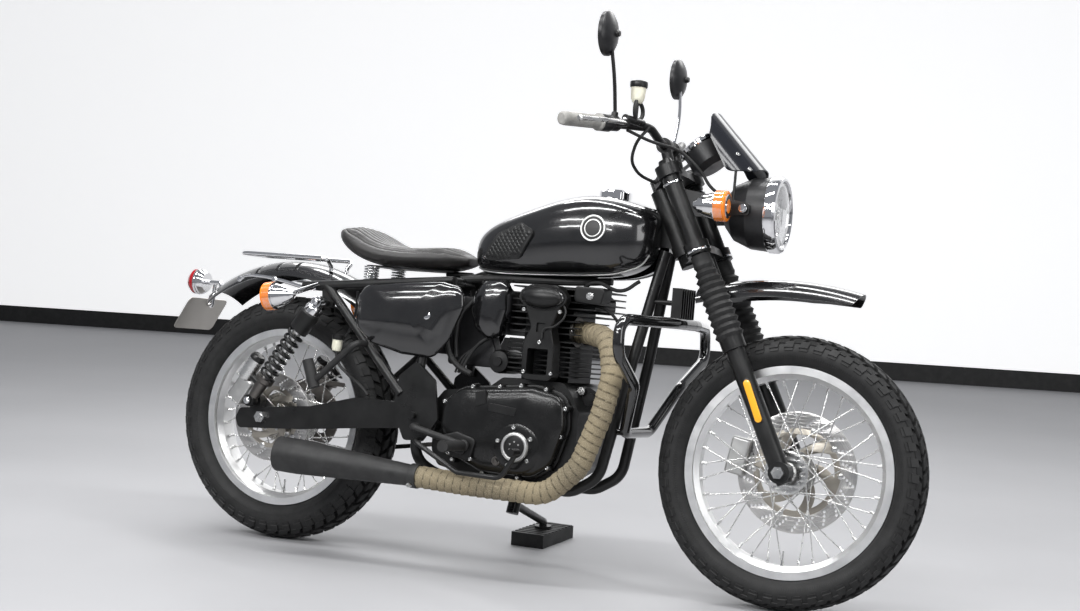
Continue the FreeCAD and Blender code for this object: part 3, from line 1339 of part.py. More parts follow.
def covers():
    """Side panels and the air box that carries them."""
    outline = scaled_outline(side_panel_shares, side_panel_rear_x, side_panel_low_z,
                             side_panel_length, side_panel_height)
    slab = side_plate(outline, clamp_edge * 1.6, side_panel_y, side_panel_bulge + side_panel_edge)
    half = side_panel_height / 2
    radius = (half * half + side_panel_bulge * side_panel_bulge) / (2 * side_panel_bulge)
    middle_y = side_panel_y + side_panel_edge + side_panel_bulge - radius
    middle_z = side_panel_low_z + half
    barrel = rod(at(side_panel_rear_x - overrun, middle_y, middle_z),
                 at(side_panel_rear_x + side_panel_length + overrun, middle_y, middle_z), radius)
    panel = slab.common(barrel)
    air_box = side_plate([(air_box_rear_x, air_box_low_z), (air_box_rear_x + air_box_length, air_box_low_z),
                          (air_box_rear_x + air_box_length, air_box_low_z + air_box_height * 0.9),
                          (air_box_rear_x, air_box_low_z + air_box_height * 0.78)], clamp_edge,
                         -air_box_half_width * 0.8, air_box_half_width * 1.6)
    for x, z in air_box_stud_shares:
        stud = at(air_box_rear_x + air_box_length * x, 0, air_box_low_z + air_box_height * z)
        reach = LEFT * (side_panel_y - seat_gap)
        air_box = air_box.fuse(rod(stud - reach, stud + reach, pivot_bolt_radius * 0.7))
    return {"side_panels": both_sides(panel), "air_box": air_box.fuse(intake())}


def rear_equipment():
    """The small chrome rack, tail lamp, number plate with its bracket, and rear indicators."""
    made = {}
    rear_x = rack_front_x - rack_length
    foot_y = rack_half_width * 0.6
    foot_z = fender_height(rear_axle, rack_foot_x, foot_y, rear_fender_radius, rear_fender_half_width,
                           rear_fender_drop) + rack_tube_radius * 0.55
    side = tube([at(rack_foot_x, foot_y, foot_z), at(rack_foot_x, foot_y, foot_z + rack_tube_radius * 2),
                 at(rack_foot_x, rack_half_width, rack_z), at(rear_x, rack_half_width, rack_z),
                 at(rear_x, -rack_half_width, rack_z), at(rack_foot_x, -rack_half_width, rack_z),
                 at(rack_foot_x, -foot_y, foot_z + rack_tube_radius * 2), at(rack_foot_x, -foot_y, foot_z)],
                rack_tube_radius, rack_tube_radius * 4)
    for share in rack_bar_shares:
        x = rack_front_x - rack_length * share
        side = side.fuse(rod(at(x, -rack_half_width, rack_z), at(x, rack_half_width, rack_z),
                             rack_tube_radius * 0.8))
    made["rear_rack"] = side

    lamp_foot = at(tail_lamp_x, 0, tail_lamp_z)
    lamp = turned([(0, 0), (0, tail_lamp_radius * 0.75), (tail_lamp_length * 0.25, tail_lamp_radius),
                   (tail_lamp_length * 0.7, tail_lamp_radius),
                   (tail_lamp_length * 0.95, tail_lamp_radius * 0.7), (tail_lamp_length, 0)],
                  lamp_foot, FORWARD * -1)
    bend = lamp_stay_radius * 2
    foot_x = tail_lamp_x + tail_lamp_length * 0.95
    fender_z = fender_height(rear_axle, foot_x, 0, rear_fender_radius, rear_fender_half_width,
                             rear_fender_drop)
    arm = tube([lamp_foot - FORWARD * clamp_edge, at(foot_x, 0, tail_lamp_z),
                at(foot_x, 0, fender_z + lamp_stay_radius * 0.82)], lamp_stay_radius, bend)
    plate = box(0, -plate_width / 2, 0, plate_thickness, plate_width, plate_height)
    plate = plate.makeFillet(clamp_edge, [edge for edge in plate.Edges if abs(
        edge.BoundBox.XLength - plate_thickness) < seat_gap and edge.BoundBox.YLength < seat_gap])
    plate.Placement = FreeCAD.Placement(at(plate_x, 0, plate_z), FreeCAD.Rotation(LEFT, plate_slope_angle))
    slope = FreeCAD.Rotation(LEFT, plate_slope_angle)
    ahead = slope.multVec(FORWARD)
    seat_point = at(plate_x, 0, plate_z) + slope.multVec(UP) * plate_height * 0.86
    seat_point += ahead * (plate_thickness + seat_gap)
    arm = arm.fuse(tube([at(tail_lamp_x + clamp_edge * 2, 0, tail_lamp_z),
                         seat_point + ahead * clamp_edge * 1.4, seat_point], lamp_stay_radius * 0.8, bend))
    made["number_plate"] = plate
    aim = math.radians(rear_indicator_angle)
    signal = both_sides(indicator(
        at(rear_indicator_x, rear_indicator_y, rear_indicator_z), at(-math.cos(aim), 0, -math.sin(aim)),
        at(rear_indicator_x, rail_half_width + strut_tube_radius + indicator_stalk_radius * 0.4,
           rail_height(rear_indicator_x))))
    made["rear_lamps"] = Part.makeCompound([lamp.fuse(arm)] + signal.Solids)
    return made


def indicator(tip, direction, root):
    """A bullet indicator on its stalk, from the tip of the bullet to the lens."""
    profile = [(indicator_length * along, indicator_radius * across) for along, across in indicator_shares]
    bullet = turned(profile, tip, direction)
    return bullet.fuse(rod(tip + direction * indicator_length * 0.3, root, indicator_stalk_radius))


def foot_controls():
    """Rider and passenger pegs, the brake pedal and the gear lever."""
    made = {}
    plate_low = at(pivot_x + pivot_plate_length * 0.1, pivot_plate_y + pivot_plate_thickness + seat_gap,
                   pivot_z - pivot_plate_height * 0.13)
    inner = at(peg_x, peg_inner_y, peg_z)
    outer = inner + LEFT * peg_length
    hanger = tube([plate_low, at(plate_low.x, peg_inner_y, plate_low.z),
                   inner - LEFT * clamp_edge * 0.1], peg_bar_radius, peg_bar_radius * 2)
    peg = turned([(0, 0), (0, peg_radius), (peg_length * 0.06, peg_radius),
                  (peg_length * 0.08, peg_radius * 0.86), (peg_length * 0.94, peg_radius * 0.86),
                  (peg_length * 0.96, peg_radius), (peg_length, peg_radius), (peg_length, 0)], inner, LEFT)
    passenger = at(pillion_peg_x, pillion_peg_y, pillion_peg_z)
    lean = math.radians(pillion_peg_angle)
    upward = at(-math.sin(lean), 0, math.cos(lean))
    passenger_peg = rod(passenger, passenger + upward * pillion_peg_length, peg_radius)
    strut_top, strut_foot = strut_line()
    hold = strut_top + (strut_foot - strut_top) * 0.55
    arm = tube([at(hold.x, hold.y + strut_tube_radius * 1.11, hold.z), at(hold.x, pillion_peg_y, hold.z),
                passenger + upward * peg_radius], peg_bar_radius, peg_bar_radius * 2)
    side = hanger.fuse([peg])
    made["footpegs"] = Part.makeCompound(both_sides(side).Solids + both_sides(passenger_peg.fuse(arm)).Solids)
    pedal_root = at(pivot_x + pivot_plate_length * 0.23, -plate_low.y - seat_gap,
                    pivot_z - pivot_plate_height * 0.28)
    toe = at(peg_x + peg_length * 1.45, -pedal_y, peg_z)
    pedal = tube([pedal_root, at(pedal_root.x, -pedal_y, pedal_root.z),
                  at(peg_x, -pedal_y, peg_z - peg_length * 0.6),
                  at(peg_x + peg_length * 1.1, -pedal_y, peg_z - peg_length * 0.62), toe],
                 pedal_radius, pedal_radius * 5)
    pedal = pedal.fuse(rod(toe, toe - LEFT * peg_radius * 2.4, pedal_radius * 1.4))
    shaft = at(case_rear_x + case_length * 0.30, case_half_width + cover_depth * 0.4 + seat_gap * 2,
               case_foot_z + case_height * 0.2)
    toe = at(peg_x + peg_length * 1.3, pedal_y, peg_z - peg_radius)
    lever = tube([shaft, at(shaft.x, pedal_y, shaft.z), toe], pedal_radius, pedal_radius * 2)
    lever = lever.fuse(rod(toe, toe + LEFT * peg_radius * 2.6, pedal_radius * 1.4))
    made["foot_levers"] = Part.makeCompound(pedal.Solids + lever.Solids)
    return made


def down_tube():
    """Top, bend and foot of the left down tube's centre line."""
    lug = on_fork(0, 0, head_low + frame_tube_radius * 1.6)
    top = at(lug.x - head_tube_radius * 1.25, frame_tube_radius * 1.4, lug.z - frame_tube_radius)
    bend = at(down_tube_foot_x + (lug.x - down_tube_foot_x) * 0.40, cradle_half_width * 0.72,
              cradle_z + (lug.z - cradle_z) * 0.55)
    return top, bend, at(down_tube_foot_x, cradle_half_width, cradle_z + frame_tube_radius * 3)


def regulator_x():
    """The back of the regulator, in front of the down tubes."""
    return guard_low_x + regulator_depth * 3.2


def regulator_z():
    """The foot of the regulator."""
    return guard_low_z + guard_height + guard_tube_radius + fit_gap


def guard_and_regulator():
    """The engine guard round both sides and the finned regulator on the down tubes."""
    right = [at(guard_low_x + guard_reach * x, guard_half_width * y, guard_low_z + guard_height * z)
             for x, y, z in guard_route_shares]
    loop = tube(right, guard_tube_radius, guard_tube_radius * 3.4)
    low = rod(right[0] - LEFT * right[0].y * 2, right[0], guard_tube_radius)
    top = rod(right[-1] - LEFT * right[-1].y * 2, right[-1], guard_tube_radius)
    bend, foot = down_tube()[1:]
    hold = foot + (bend - foot) * ((guard_low_z - foot.z) / (bend.z - foot.z))
    bracket = rod(at(hold.x + frame_tube_radius * 1.12, hold.y, hold.z), at(guard_low_x, hold.y, hold.z),
                  guard_tube_radius * 0.6)
    guard = loop.fuse([mirrored(loop), low, top, bracket, mirrored(bracket)])
    back_x = regulator_x()
    foot_z = regulator_z()
    base = box(back_x, -regulator_width / 2, foot_z, regulator_depth * 0.4, regulator_width, regulator_length)
    pitch = (regulator_width - fin_thickness) / (regulator_fin_count - 1)
    for index in range(regulator_fin_count):
        fin_y = pitch * index - regulator_width / 2
        base = base.fuse(box(back_x, fin_y, foot_z, regulator_depth, fin_thickness, regulator_length))
    return {"engine_guard": guard, "regulator": base}


def brake_calipers():
    """The front and rear calipers, each with a slot for its disc and a bracket to its carrier."""
    front = caliper(front_axle, front_disc_y, front_disc_radius, front_caliper_angle)
    half = fork_spacing / 2
    leg = rod(on_fork(fork_offset, half, 0), on_fork(fork_offset, half, fork_leg_top),
              fork_leg_radius + seat_gap)
    reach = front_disc_radius
    plate = side_plate(scaled_outline(front_bracket_shares, front_axle.x, front_axle.z, -reach, reach),
                       clamp_edge, front_disc_y + disc_thickness * 1.7, disc_thickness * 2)
    front = front.fuse(max(plate.cut(leg).Solids, key=lambda solid: solid.Volume))
    rear = caliper(rear_axle, rear_disc_y, rear_disc_radius, rear_caliper_angle)
    spacer = rod(rear_axle - LEFT * arm_y, rear_axle, axle_lug_radius * 0.62 * 0.86 + seat_gap)
    reach = rear_disc_radius
    plate = side_plate(scaled_outline(rear_bracket_shares, rear_axle.x, rear_axle.z, -reach, reach),
                       clamp_edge, rear_disc_y - disc_thickness * 3.4, disc_thickness * 1.4)
    rear = rear.fuse(plate.cut(spacer))
    return {"front_caliper": front, "rear_caliper": rear}


def caliper(centre, y, radius, turn):
    """A caliper over the edge of a disc, at an angle round the axle from the front."""
    angle = math.radians(turn)
    out = at(math.cos(angle), 0, math.sin(angle))
    length = radius * 0.62
    depth = disc_thickness * 10
    width = disc_thickness * 10
    block = Part.makeBox(depth, width, length, FreeCAD.Vector(-depth / 2, -width / 2, -length / 2))
    block = block.makeFillet(clamp_edge * 0.5, block.Edges)
    slot_width = disc_thickness * 3
    slot = Part.makeBox(depth, slot_width, length * 2,
                        FreeCAD.Vector(-depth * 0.75, -slot_width / 2, -length))
    block = block.cut(slot)
    block.Placement = FreeCAD.Placement(centre + out * radius + LEFT * y, FreeCAD.Rotation(LEFT, -turn))
    return block


def front_equipment():
    """Headlamp, fly screen, gauge, indicators and their brackets."""
    made = {}
    front = at(headlamp_front_x, 0, headlamp_z)
    shell = turned([(headlamp_rim_depth, 0), (headlamp_rim_depth, headlamp_radius * 0.97),
                    (headlamp_length * 0.5, headlamp_radius * 0.93),
                    (headlamp_length * 0.8, headlamp_radius * 0.74),
                    (headlamp_length * 0.96, headlamp_radius * 0.44), (headlamp_length, 0)],
                   front, FORWARD * -1)
    glass_back = headlamp_rim_depth - seat_gap
    glass = turned([(-headlamp_rim_depth * 0.4, 0), (0, headlamp_radius * 0.86), (0, headlamp_radius),
                    (glass_back, headlamp_radius), (glass_back, 0)], front, FORWARD * -1)
    pivot = lamp_pivot()
    bolt = rod(pivot + LEFT * headlamp_radius * 0.9, pivot + LEFT * (fork_spacing / 2 + clamp_edge * 0.6),
               clamp_edge * 0.6)
    made["headlamp_shell"] = shell.fuse([bolt, mirrored(bolt)])
    made["headlamp_glass"] = glass
    tip = at(front_indicator_x - indicator_length, front_indicator_y, front_indicator_z)
    root = at(tip.x + indicator_length * 0.3, fork_spacing / 2 + seat_gap, front_indicator_z)
    made["front_indicators"] = both_sides(indicator(tip, FORWARD, root))

    gauge_axis = at(-math.sin(math.radians(gauge_slope_angle)), 0, math.cos(math.radians(gauge_slope_angle)))
    gauge_foot = on_fork(fork_offset + gauge_reach, 0, upper_clamp_low)
    dial = turned([(0, 0), (0, gauge_radius * 0.7), (gauge_length * 0.2, gauge_radius * 0.94),
                   (gauge_length * 0.86, gauge_radius * 0.94), (gauge_length * 0.86, gauge_radius),
                   (gauge_length, gauge_radius), (gauge_length, 0)], gauge_foot, gauge_axis)
    stay_root = on_fork(fork_offset + clamp_edge * 1.1, 0, upper_clamp_low + clamp_height / 2)
    stay = rod(gauge_foot + gauge_axis * clamp_edge, stay_root, clamp_edge * 0.6)
    made["gauge"] = dial.fuse(stay)
    made["fly_screen"] = fly_screen()
    return made


def lamp_pivot():
    """The headlamp's pivot on the machine's centre plane."""
    return at(headlamp_front_x - headlamp_length * 0.5, 0, headlamp_z)


def lamp_ear():
    """The left headlamp ear, which reaches forward from the fork cover."""
    pivot = lamp_pivot()
    root_x = steer_base.x + (fork_offset - (headlamp_z - steer_base.z) * sin_rake) / cos_rake
    low = headlamp_z - clamp_edge
    ear_y = fork_spacing / 2
    outline = [(root_x, low - clamp_edge), (pivot.x + clamp_edge, low),
               (pivot.x + clamp_edge, low + clamp_edge * 2), (root_x, low + clamp_edge * 4)]
    ear = side_plate(outline, clamp_edge * 0.6, ear_y - fin_thickness, fin_thickness)
    ear = ear.cut(rod(pivot, pivot + LEFT * fork_spacing, clamp_edge * 0.6 + seat_gap))
    post_foot = at(pivot.x - clamp_edge * 2, ear_y - fin_thickness / 2, headlamp_z + clamp_edge)
    post = rod(post_foot, post_foot + UP * headlamp_radius * 1.4, fin_thickness).cut(fly_screen())
    return ear.fuse(min(post.Solids, key=lambda solid: solid.CenterOfMass.z))


def fly_screen():
    """A small curved screen over the headlamp."""
    slope = math.radians(screen_slope_angle)
    up_screen = at(-math.sin(slope), 0, math.cos(slope))
    back = at(-math.cos(slope), 0, -math.sin(slope))
    foot = at(headlamp_front_x - headlamp_rim_depth * 2, 0, headlamp_z + headlamp_radius + clamp_edge)

    def arc_at(inset):
        ends = [foot + back * screen_bulge + LEFT * side * (screen_half_width - inset) for side in (-1, 1)]
        return ends[0], foot + back * inset, ends[1]
    outer = arc_at(0)
    inner = arc_at(screen_thickness)
    wire = Part.Wire([Part.Arc(*outer).toShape(), Part.LineSegment(outer[2], inner[2]).toShape(),
                      Part.Arc(*inner[::-1]).toShape(), Part.LineSegment(inner[0], outer[0]).toShape()])
    band = Part.Face(wire).extrude(up_screen * screen_height)
    outline = [foot + LEFT * y * screen_half_width + up_screen * z * screen_height
               for y, z in screen_outline_shares]
    trim = Part.Face(round_outline(outline, clamp_edge * 2)).extrude(back * screen_half_width)
    trim.translate(back * -clamp_edge)
    return band.common(trim)


def bar_centre():
    """The middle of the handlebar, above the upper clamp."""
    return on_fork(fork_offset, 0, upper_clamp_low + clamp_height + bar_clamp_rise)


def bar_clamps():
    """Two risers with the clamps that hold the handlebar."""
    centre = bar_centre()
    posts = []
    for side in (-1, 1):
        foot = on_fork(fork_offset * 0.8, side * clamp_edge * 2.6, upper_clamp_low + clamp_height / 2)
        top = centre + LEFT * (side * clamp_edge * 2.6)
        posts += [rod(foot, top, clamp_edge),
                  rod(top - LEFT * clamp_edge, top + LEFT * clamp_edge, clamp_edge * 1.4)]
    clamps = posts[0].fuse(posts[1:])
    return clamps.cut(rod(centre - LEFT * bar_half_width, centre + LEFT * bar_half_width,
                          bar_radius + seat_gap))


def handlebar():
    """The handlebar with its clamps, grips, levers, reservoir and mirrors."""
    made = {}
    centre = bar_centre()
    half = [centre + at(-bar_pull_back * x, bar_half_width * y, bar_rise * z) for x, y, z in handlebar_shares]
    arm = tube(half, bar_radius, bar_radius * 5)
    middle = rod(half[0] - LEFT * half[0].y * 2, half[0], bar_radius)
    made["handlebar"] = arm.fuse([mirrored(arm), middle])
    end = half[-1]
    along = (half[-1] - half[-2]).normalize()
    grip_start = end - along * grip_length
    bore = bar_radius + seat_gap
    bar_end = grip_length + seat_gap
    grip = turned([(0, bore), (0, grip_radius * 1.3), (grip_length * 0.04, grip_radius * 1.3),
                   (grip_length * 0.05, grip_radius), (bar_end, grip_radius),
                   (grip_length + bar_radius, grip_radius * 0.8), (grip_length + bar_radius, 0),
                   (bar_end, 0), (bar_end, bore)], grip_start, along)
    made["grips"] = both_sides(grip)
    inner = grip_start - along * fit_gap
    pod = turned([(0, bore), (0, grip_radius * 1.2), (grip_length * 0.3, grip_radius * 1.3),
                  (grip_length * 0.32, bar_radius + clamp_edge * 0.4),
                  (grip_length * 0.55, bar_radius + clamp_edge * 0.5), (grip_length * 0.55, bore)],
                 inner, along * -1)
    perch = inner - along * grip_length * 0.44
    forward = along.cross(UP)
    forward = forward * (-1 if forward.x < 0 else 1)
    lever = tube([perch + forward * bar_radius * 1.2, perch + forward * grip_radius * 2.6,
                  inner + forward * grip_radius * 3.6 + along * grip_length * 0.2,
                  end + forward * grip_radius * 2.8], pedal_radius * 0.8, pedal_radius * 4)
    left_controls = pod.fuse(lever)
    right_controls = mirrored(left_controls).fuse(brake_master(half[2])).cut(made["handlebar"])
    made["bar_controls"] = Part.makeCompound(left_controls.Solids + right_controls.Solids)
    mirror = at(mirror_x, mirror_y, mirror_z)
    glass_back = turned([(0, 0), (0, mirror_radius), (mirror_depth * 0.4, mirror_radius),
                         (mirror_depth, mirror_radius * 0.5), (mirror_depth, 0)], mirror, FORWARD)
    stem_foot = perch + UP * (bar_radius + clamp_edge * 0.5 + fit_gap * 2)
    knee = stem_foot + (mirror - stem_foot) * 0.45 + forward * clamp_edge
    stem = tube([stem_foot, stem_foot + UP * clamp_edge, knee, mirror + FORWARD * mirror_depth * 0.6],
                mirror_stem_radius, mirror_stem_radius * 8)
    made["mirrors"] = both_sides(glass_back.fuse(stem))
    return made


def brake_master(bend):
    """The right-hand master cylinder with the round reservoir over it, at the bar's outer bend."""
    place = mirrored(Part.Vertex(bend)).Point
    across = place - bar_centre()
    across = FreeCAD.Vector(across.x, across.y, 0).normalize()
    ahead = across.cross(UP) * -1
    ahead = ahead * (-1 if ahead.x < 0 else 1)
    body_middle = place + ahead * (bar_radius + master_radius * 1.4) + UP * master_radius
    body = rod(body_middle - across * master_length * 0.4, body_middle + across * master_length * 0.6,
               master_radius)
    pot_foot = body_middle + UP * reservoir_rise
    neck = rod(body_middle, pot_foot, master_radius * 0.5)
    lid_low = reservoir_height * 0.72
    lid_radius = reservoir_top_radius * 1.1
    pot = turned([(0, 0), (0, reservoir_top_radius * 0.62),
                  (reservoir_height * 0.2, reservoir_top_radius * 0.84),
                  (lid_low, reservoir_top_radius * 0.94), (lid_low, lid_radius),
                  (reservoir_height, lid_radius), (reservoir_height, 0)], pot_foot, UP)
    hold = rod(body_middle, place, master_radius).cut(
        rod(place - across * master_length, place + across * master_length, bar_radius + seat_gap))
    hold = max(hold.Solids, key=lambda solid: (solid.CenterOfMass - place).Length)
    return body.fuse([neck, pot, hold])


def cables(made):
    """The hose and cables from the bar controls to the headlamp's back, on each side."""
    runs = []
    for route in cable_routes:
        run = tube([at(x, y, z) for x, y, z in route], cable_radius, cable_bend)
        for name in ("headlamp_shell", "bar_controls", "steering_stem", "handlebar"):
            run = run.cut(made[name])
        runs.append(max(run.Solids, key=lambda solid: solid.Volume))
    return Part.makeCompound(runs)


def stand_line():
    """The stand's pivot, its foot and the axis that it folds about, on the upright machine."""
    pivot = at(stand_pivot_x, stand_pivot_y, stand_pivot_z)
    foot = upright_point(at(stand_foot_x, stand_foot_y,
                            block_height + fit_gap + stand_foot_thickness + stand_leg_radius))
    axis = (foot - pivot).cross(stand_folded_way).normalize()
    return pivot, foot, axis


def stand():
    """The side stand, down on its block."""
    pivot, foot, axis = stand_line()
    ground_up = (upright_point(at(0, 0, block_height)) - upright_point(ORIGIN)).normalize()
    pad_top = foot - ground_up * stand_leg_radius
    pad = rod(pad_top - ground_up * stand_foot_thickness, pad_top, stand_foot_radius)
    ankle = rod(pad_top, foot, stand_leg_radius)
    head = rod(pivot - axis * stand_head_length / 2, pivot + axis * stand_head_length / 2, stand_head_radius)
    leg = rod(pivot, foot, stand_leg_radius).fuse([pad, ankle, head])
    return leg.cut(rod(pivot - axis * stand_head_length, pivot + axis * stand_head_length,
                       stand_bolt_radius + fit_gap))


def stand_bracket():
    """The fork on the frame that holds the stand's bolt."""
    pivot, foot, axis = stand_line()
    half = stand_head_length / 2 + fit_gap
    cheek = stand_leg_radius
    bolt = rod(pivot - axis * (half + cheek), pivot + axis * (half + cheek), stand_bolt_radius)
    inward = ((foot - pivot).normalize() + stand_folded_way.normalize()).normalize() * -1
    web = pivot + inward * (stand_head_radius + cheek)
    parts = [rod(web - axis * (half + cheek), web + axis * (half + cheek), cheek * 0.7)]
    for side in (-1, 1):
        ear_low = pivot + axis * (side * half)
        middle = axis * (side * (half + cheek / 2))
        parts += [rod(ear_low, ear_low + axis * (side * cheek), stand_head_radius),
                  rod(pivot + middle, web + middle, cheek * 0.5)]
    root = at(web.x, cradle_half_width, cradle_z)
    return bolt.fuse(parts + [rod(web + axis * half, root, cheek * 0.7)])


def stand_block():
    """The ribbed rubber block under the stand's foot, standing square on the ground."""
    x = stand_foot_x - block_length / 2
    y = stand_foot_y - block_width / 2
    body = box(x, y, 0, block_length, block_width, block_height - block_rib_depth)
    pitch = block_width / block_rib_count
    for index in range(block_rib_count):
        body = body.fuse(box(x, y + pitch * index, 0, block_length, pitch * 0.6, block_height))
    return body


def parked(shape, steered):
    """A piece in its parked place: the front end turned, then all leaned over."""
    if steered:
        shape.rotate(steer_base, steer_up, parked_steer_angle)
    shape.rotate(crown_line, FORWARD, -lean_angle)
    return shape


def upright_point(point):
    """Where a point of the parked machine lies on the upright one."""
    turn = FreeCAD.Rotation(FORWARD, lean_angle)
    return crown_line + turn.multVec(point - crown_line)


STEERING_PIECES = (
    "steering_stem", "fork_tubes", "fork_gaiters", "fork_lowers", "front_axle", "front_fender",
    "front_caliper", "headlamp_shell", "headlamp_glass", "front_indicators", "gauge", "fly_screen",
    "handlebar", "grips", "bar_controls", "mirrors", "cables")
FRONT_WHEEL_PIECES = ("front_tyre", "front_rim", "front_hub", "front_disc")
REAR_WHEEL_PIECES = ("rear_tyre", "rear_rim", "rear_hub", "rear_disc", "rear_sprocket")


def pieces_of_machine():
    """Every piece on the upright machine, by name."""
    made = {}
    made.update(wheels())
    made.update(wheel_discs())
    made.update(fork())
    made.update(frame_tubes())
    made["rear_frame"] = rear_frame()
    made["swing_arm"] = swing_arm()
    made["shocks"] = shocks()
    made["drive_chain"] = drive_chain()
    made.update(engine())
    made["exhaust_pipe"], made["muffler"] = exhaust()
    made.update(tank_and_pads())
    made["tank_cap"], made["knee_pads"] = tank_trim(made["fuel_tank"])
    made.update(seat_and_frame())
    made.update(covers())
    made.update(rear_equipment())
    made.update(foot_controls())
    made.update(guard_and_regulator())
    made.update(brake_calipers())
    made.update(front_equipment())
    made.update(handlebar())
    made["gauge"] = made["gauge"].cut(made["steering_stem"])
    made["cables"] = cables(made)
    made["side_stand"] = stand()
    inner_ends = (chain_y + disc_thickness / 2 + fit_gap, -rear_disc_y + disc_thickness / 2 + fit_gap)
    made["rear_axle"] = axle(rear_axle, rear_axle_radius, arm_y + arm_thickness / 2 + seat_gap, inner_ends,
                             arm_y - arm_thickness / 2 - seat_gap, axle_lug_radius * 0.62,
                             axle_lug_radius * 0.5)
    made["rear_fender"] = fender(rear_axle, rear_fender_radius, rear_fender_half_width,
                                 rear_fender_drop, rear_fender_start_angle, rear_fender_sweep_angle)
    made["front_fender"] = front_fender(0)
    return made


def parked_pieces():
    """Every piece in its parked place, over the middle of the ground that the machine covers."""
    steered = STEERING_PIECES + FRONT_WHEEL_PIECES
    placed = {name: parked(shape, name in steered) for name, shape in pieces_of_machine().items()}
    placed["stand_block"] = stand_block()
    boxes = [shape.optimalBoundingBox(False) for shape in placed.values()]
    middle_x = (min(box.XMin for box in boxes) + max(box.XMax for box in boxes)) / 2
    middle_y = (min(box.YMin for box in boxes) + max(box.YMax for box in boxes)) / 2
    low_z = min(box.ZMin for box in boxes)
    to_origin = at(-middle_x, -middle_y, -low_z)
    for shape in placed.values():
        shape.translate(to_origin)
    return placed, to_origin


os.makedirs("parts", exist_ok=True)
shapes, to_origin = parked_pieces()
for name, shape in shapes.items():
    print(name, shape.isValid(), len(shape.Solids), round(shape.Volume))
    shape.exportStep("parts/" + name + ".step")
print(len(shapes), "pieces, moved by", to_origin)
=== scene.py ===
# %% [markdown]
# A retro roadster on its side stand. The imported solids give every place and size, so this
# lesson starts by loading them.
# %% Load the imported model
import json
import math
import bpy
import bmesh
from mathutils import Matrix, Vector
from mathutils.bvhtree import BVHTree


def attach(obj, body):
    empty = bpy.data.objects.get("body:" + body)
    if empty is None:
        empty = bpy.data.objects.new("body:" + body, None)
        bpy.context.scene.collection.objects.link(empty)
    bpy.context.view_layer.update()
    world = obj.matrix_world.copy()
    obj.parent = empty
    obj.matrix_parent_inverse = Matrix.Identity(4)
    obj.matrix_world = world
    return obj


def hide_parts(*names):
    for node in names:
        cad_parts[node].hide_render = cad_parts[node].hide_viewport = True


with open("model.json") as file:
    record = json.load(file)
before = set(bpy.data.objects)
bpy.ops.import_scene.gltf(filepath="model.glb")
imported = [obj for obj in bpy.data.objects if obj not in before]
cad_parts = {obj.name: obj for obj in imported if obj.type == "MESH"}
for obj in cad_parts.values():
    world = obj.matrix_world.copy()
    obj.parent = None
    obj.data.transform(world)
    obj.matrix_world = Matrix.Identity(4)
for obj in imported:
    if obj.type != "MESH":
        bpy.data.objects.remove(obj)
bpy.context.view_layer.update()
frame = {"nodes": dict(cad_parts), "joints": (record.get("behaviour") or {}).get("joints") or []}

# %% [markdown]
# The machine leans on its stand, which makes its own parts awkward to place. So pieces are
# made on an upright machine, with the ground at zero midway between the axles and +X to the
# front. One matrix then leans a finished mesh over, and another also turns what steers.
# %% Places on the machine
MM = 0.001
LEAN = math.radians(5.4)
STEER = math.radians(4.0)
RAKE = math.radians(26.3)
LEAN_HEIGHT = 66
FORK_OFFSET = 55
UP = Vector((0, 0, 1))
LEFT, RIGHTWARD = Vector((0, 1, 0)), Vector((0, -1, 0))
FORWARD, BACKWARD = Vector((1, 0, 0)), Vector((-1, 0, 0))
joints = {joint["name"]: joint for joint in frame["joints"]}


def at(x, y, z):
    """A place on the upright machine, in millimetres."""
    return Vector((x, y, z)) * MM


def turned_about(place, angle, axis):
    """A turn about a line through a place."""
    return Matrix.Translation(place) @ Matrix.Rotation(angle, 4, axis) @ Matrix.Translation(-place)


front_axle = at(720, 0, 333)
rear_axle = at(-720, 0, 332.5)
steer_out = Vector((math.cos(RAKE), 0, math.sin(RAKE)))
steer_up = Vector((-math.sin(RAKE), 0, math.cos(RAKE)))
steer_base = front_axle - steer_out * FORK_OFFSET * MM
leaned = turned_about(at(0, 0, LEAN_HEIGHT), -LEAN, "X")
to_origin = Vector(joints["rear_wheel_spin"]["pos_m"]) - leaned @ rear_axle
parked = Matrix.Translation(to_origin) @ leaned
steered = parked @ turned_about(steer_base, STEER, steer_up)
error = (steered @ front_axle - Vector(joints["front_wheel_spin"]["pos_m"])).length
print("moved by", to_origin, "front axle off by", round(error, 6))


def on_fork(x, y, along):
    """A place across and along the steering axis, in millimetres."""
    return steer_base + (steer_out * x + LEFT * y + steer_up * along) * MM


# %% [markdown]
# The camera repeats the photograph's. Its place and angles were solved from the wheels, the
# stand's block and the tank, so every piece can be judged against the photograph directly.
# %% Camera
yaw, pitch, roll = math.radians(-25.457), math.radians(3.798), math.radians(-2.544)
ahead = Vector((math.sin(yaw) * math.cos(pitch), math.cos(yaw) * math.cos(pitch), -math.sin(pitch)))
level_right = Vector((math.cos(yaw), -math.sin(yaw), 0))
level_down = ahead.cross(level_right)
right = level_right * math.cos(roll) + level_down * math.sin(roll)
down = level_down * math.cos(roll) - level_right * math.sin(roll)
SENSOR_WIDTH, PHOTO_WIDTH, FOCAL_PIXELS = 36, 1080, 1813.23
optics = bpy.data.cameras.new("camera")
optics.sensor_width = SENSOR_WIDTH
optics.lens = SENSOR_WIDTH * FOCAL_PIXELS / PHOTO_WIDTH
camera = bpy.data.objects.new("camera", optics)
camera.matrix_world = Matrix((right, -down, -ahead)).transposed().to_4x4()
camera.location = at(2032.3, -4183.56, 1000.51) + to_origin
bpy.context.collection.objects.link(camera)
bpy.context.scene.camera = camera
print("camera at", camera.location)

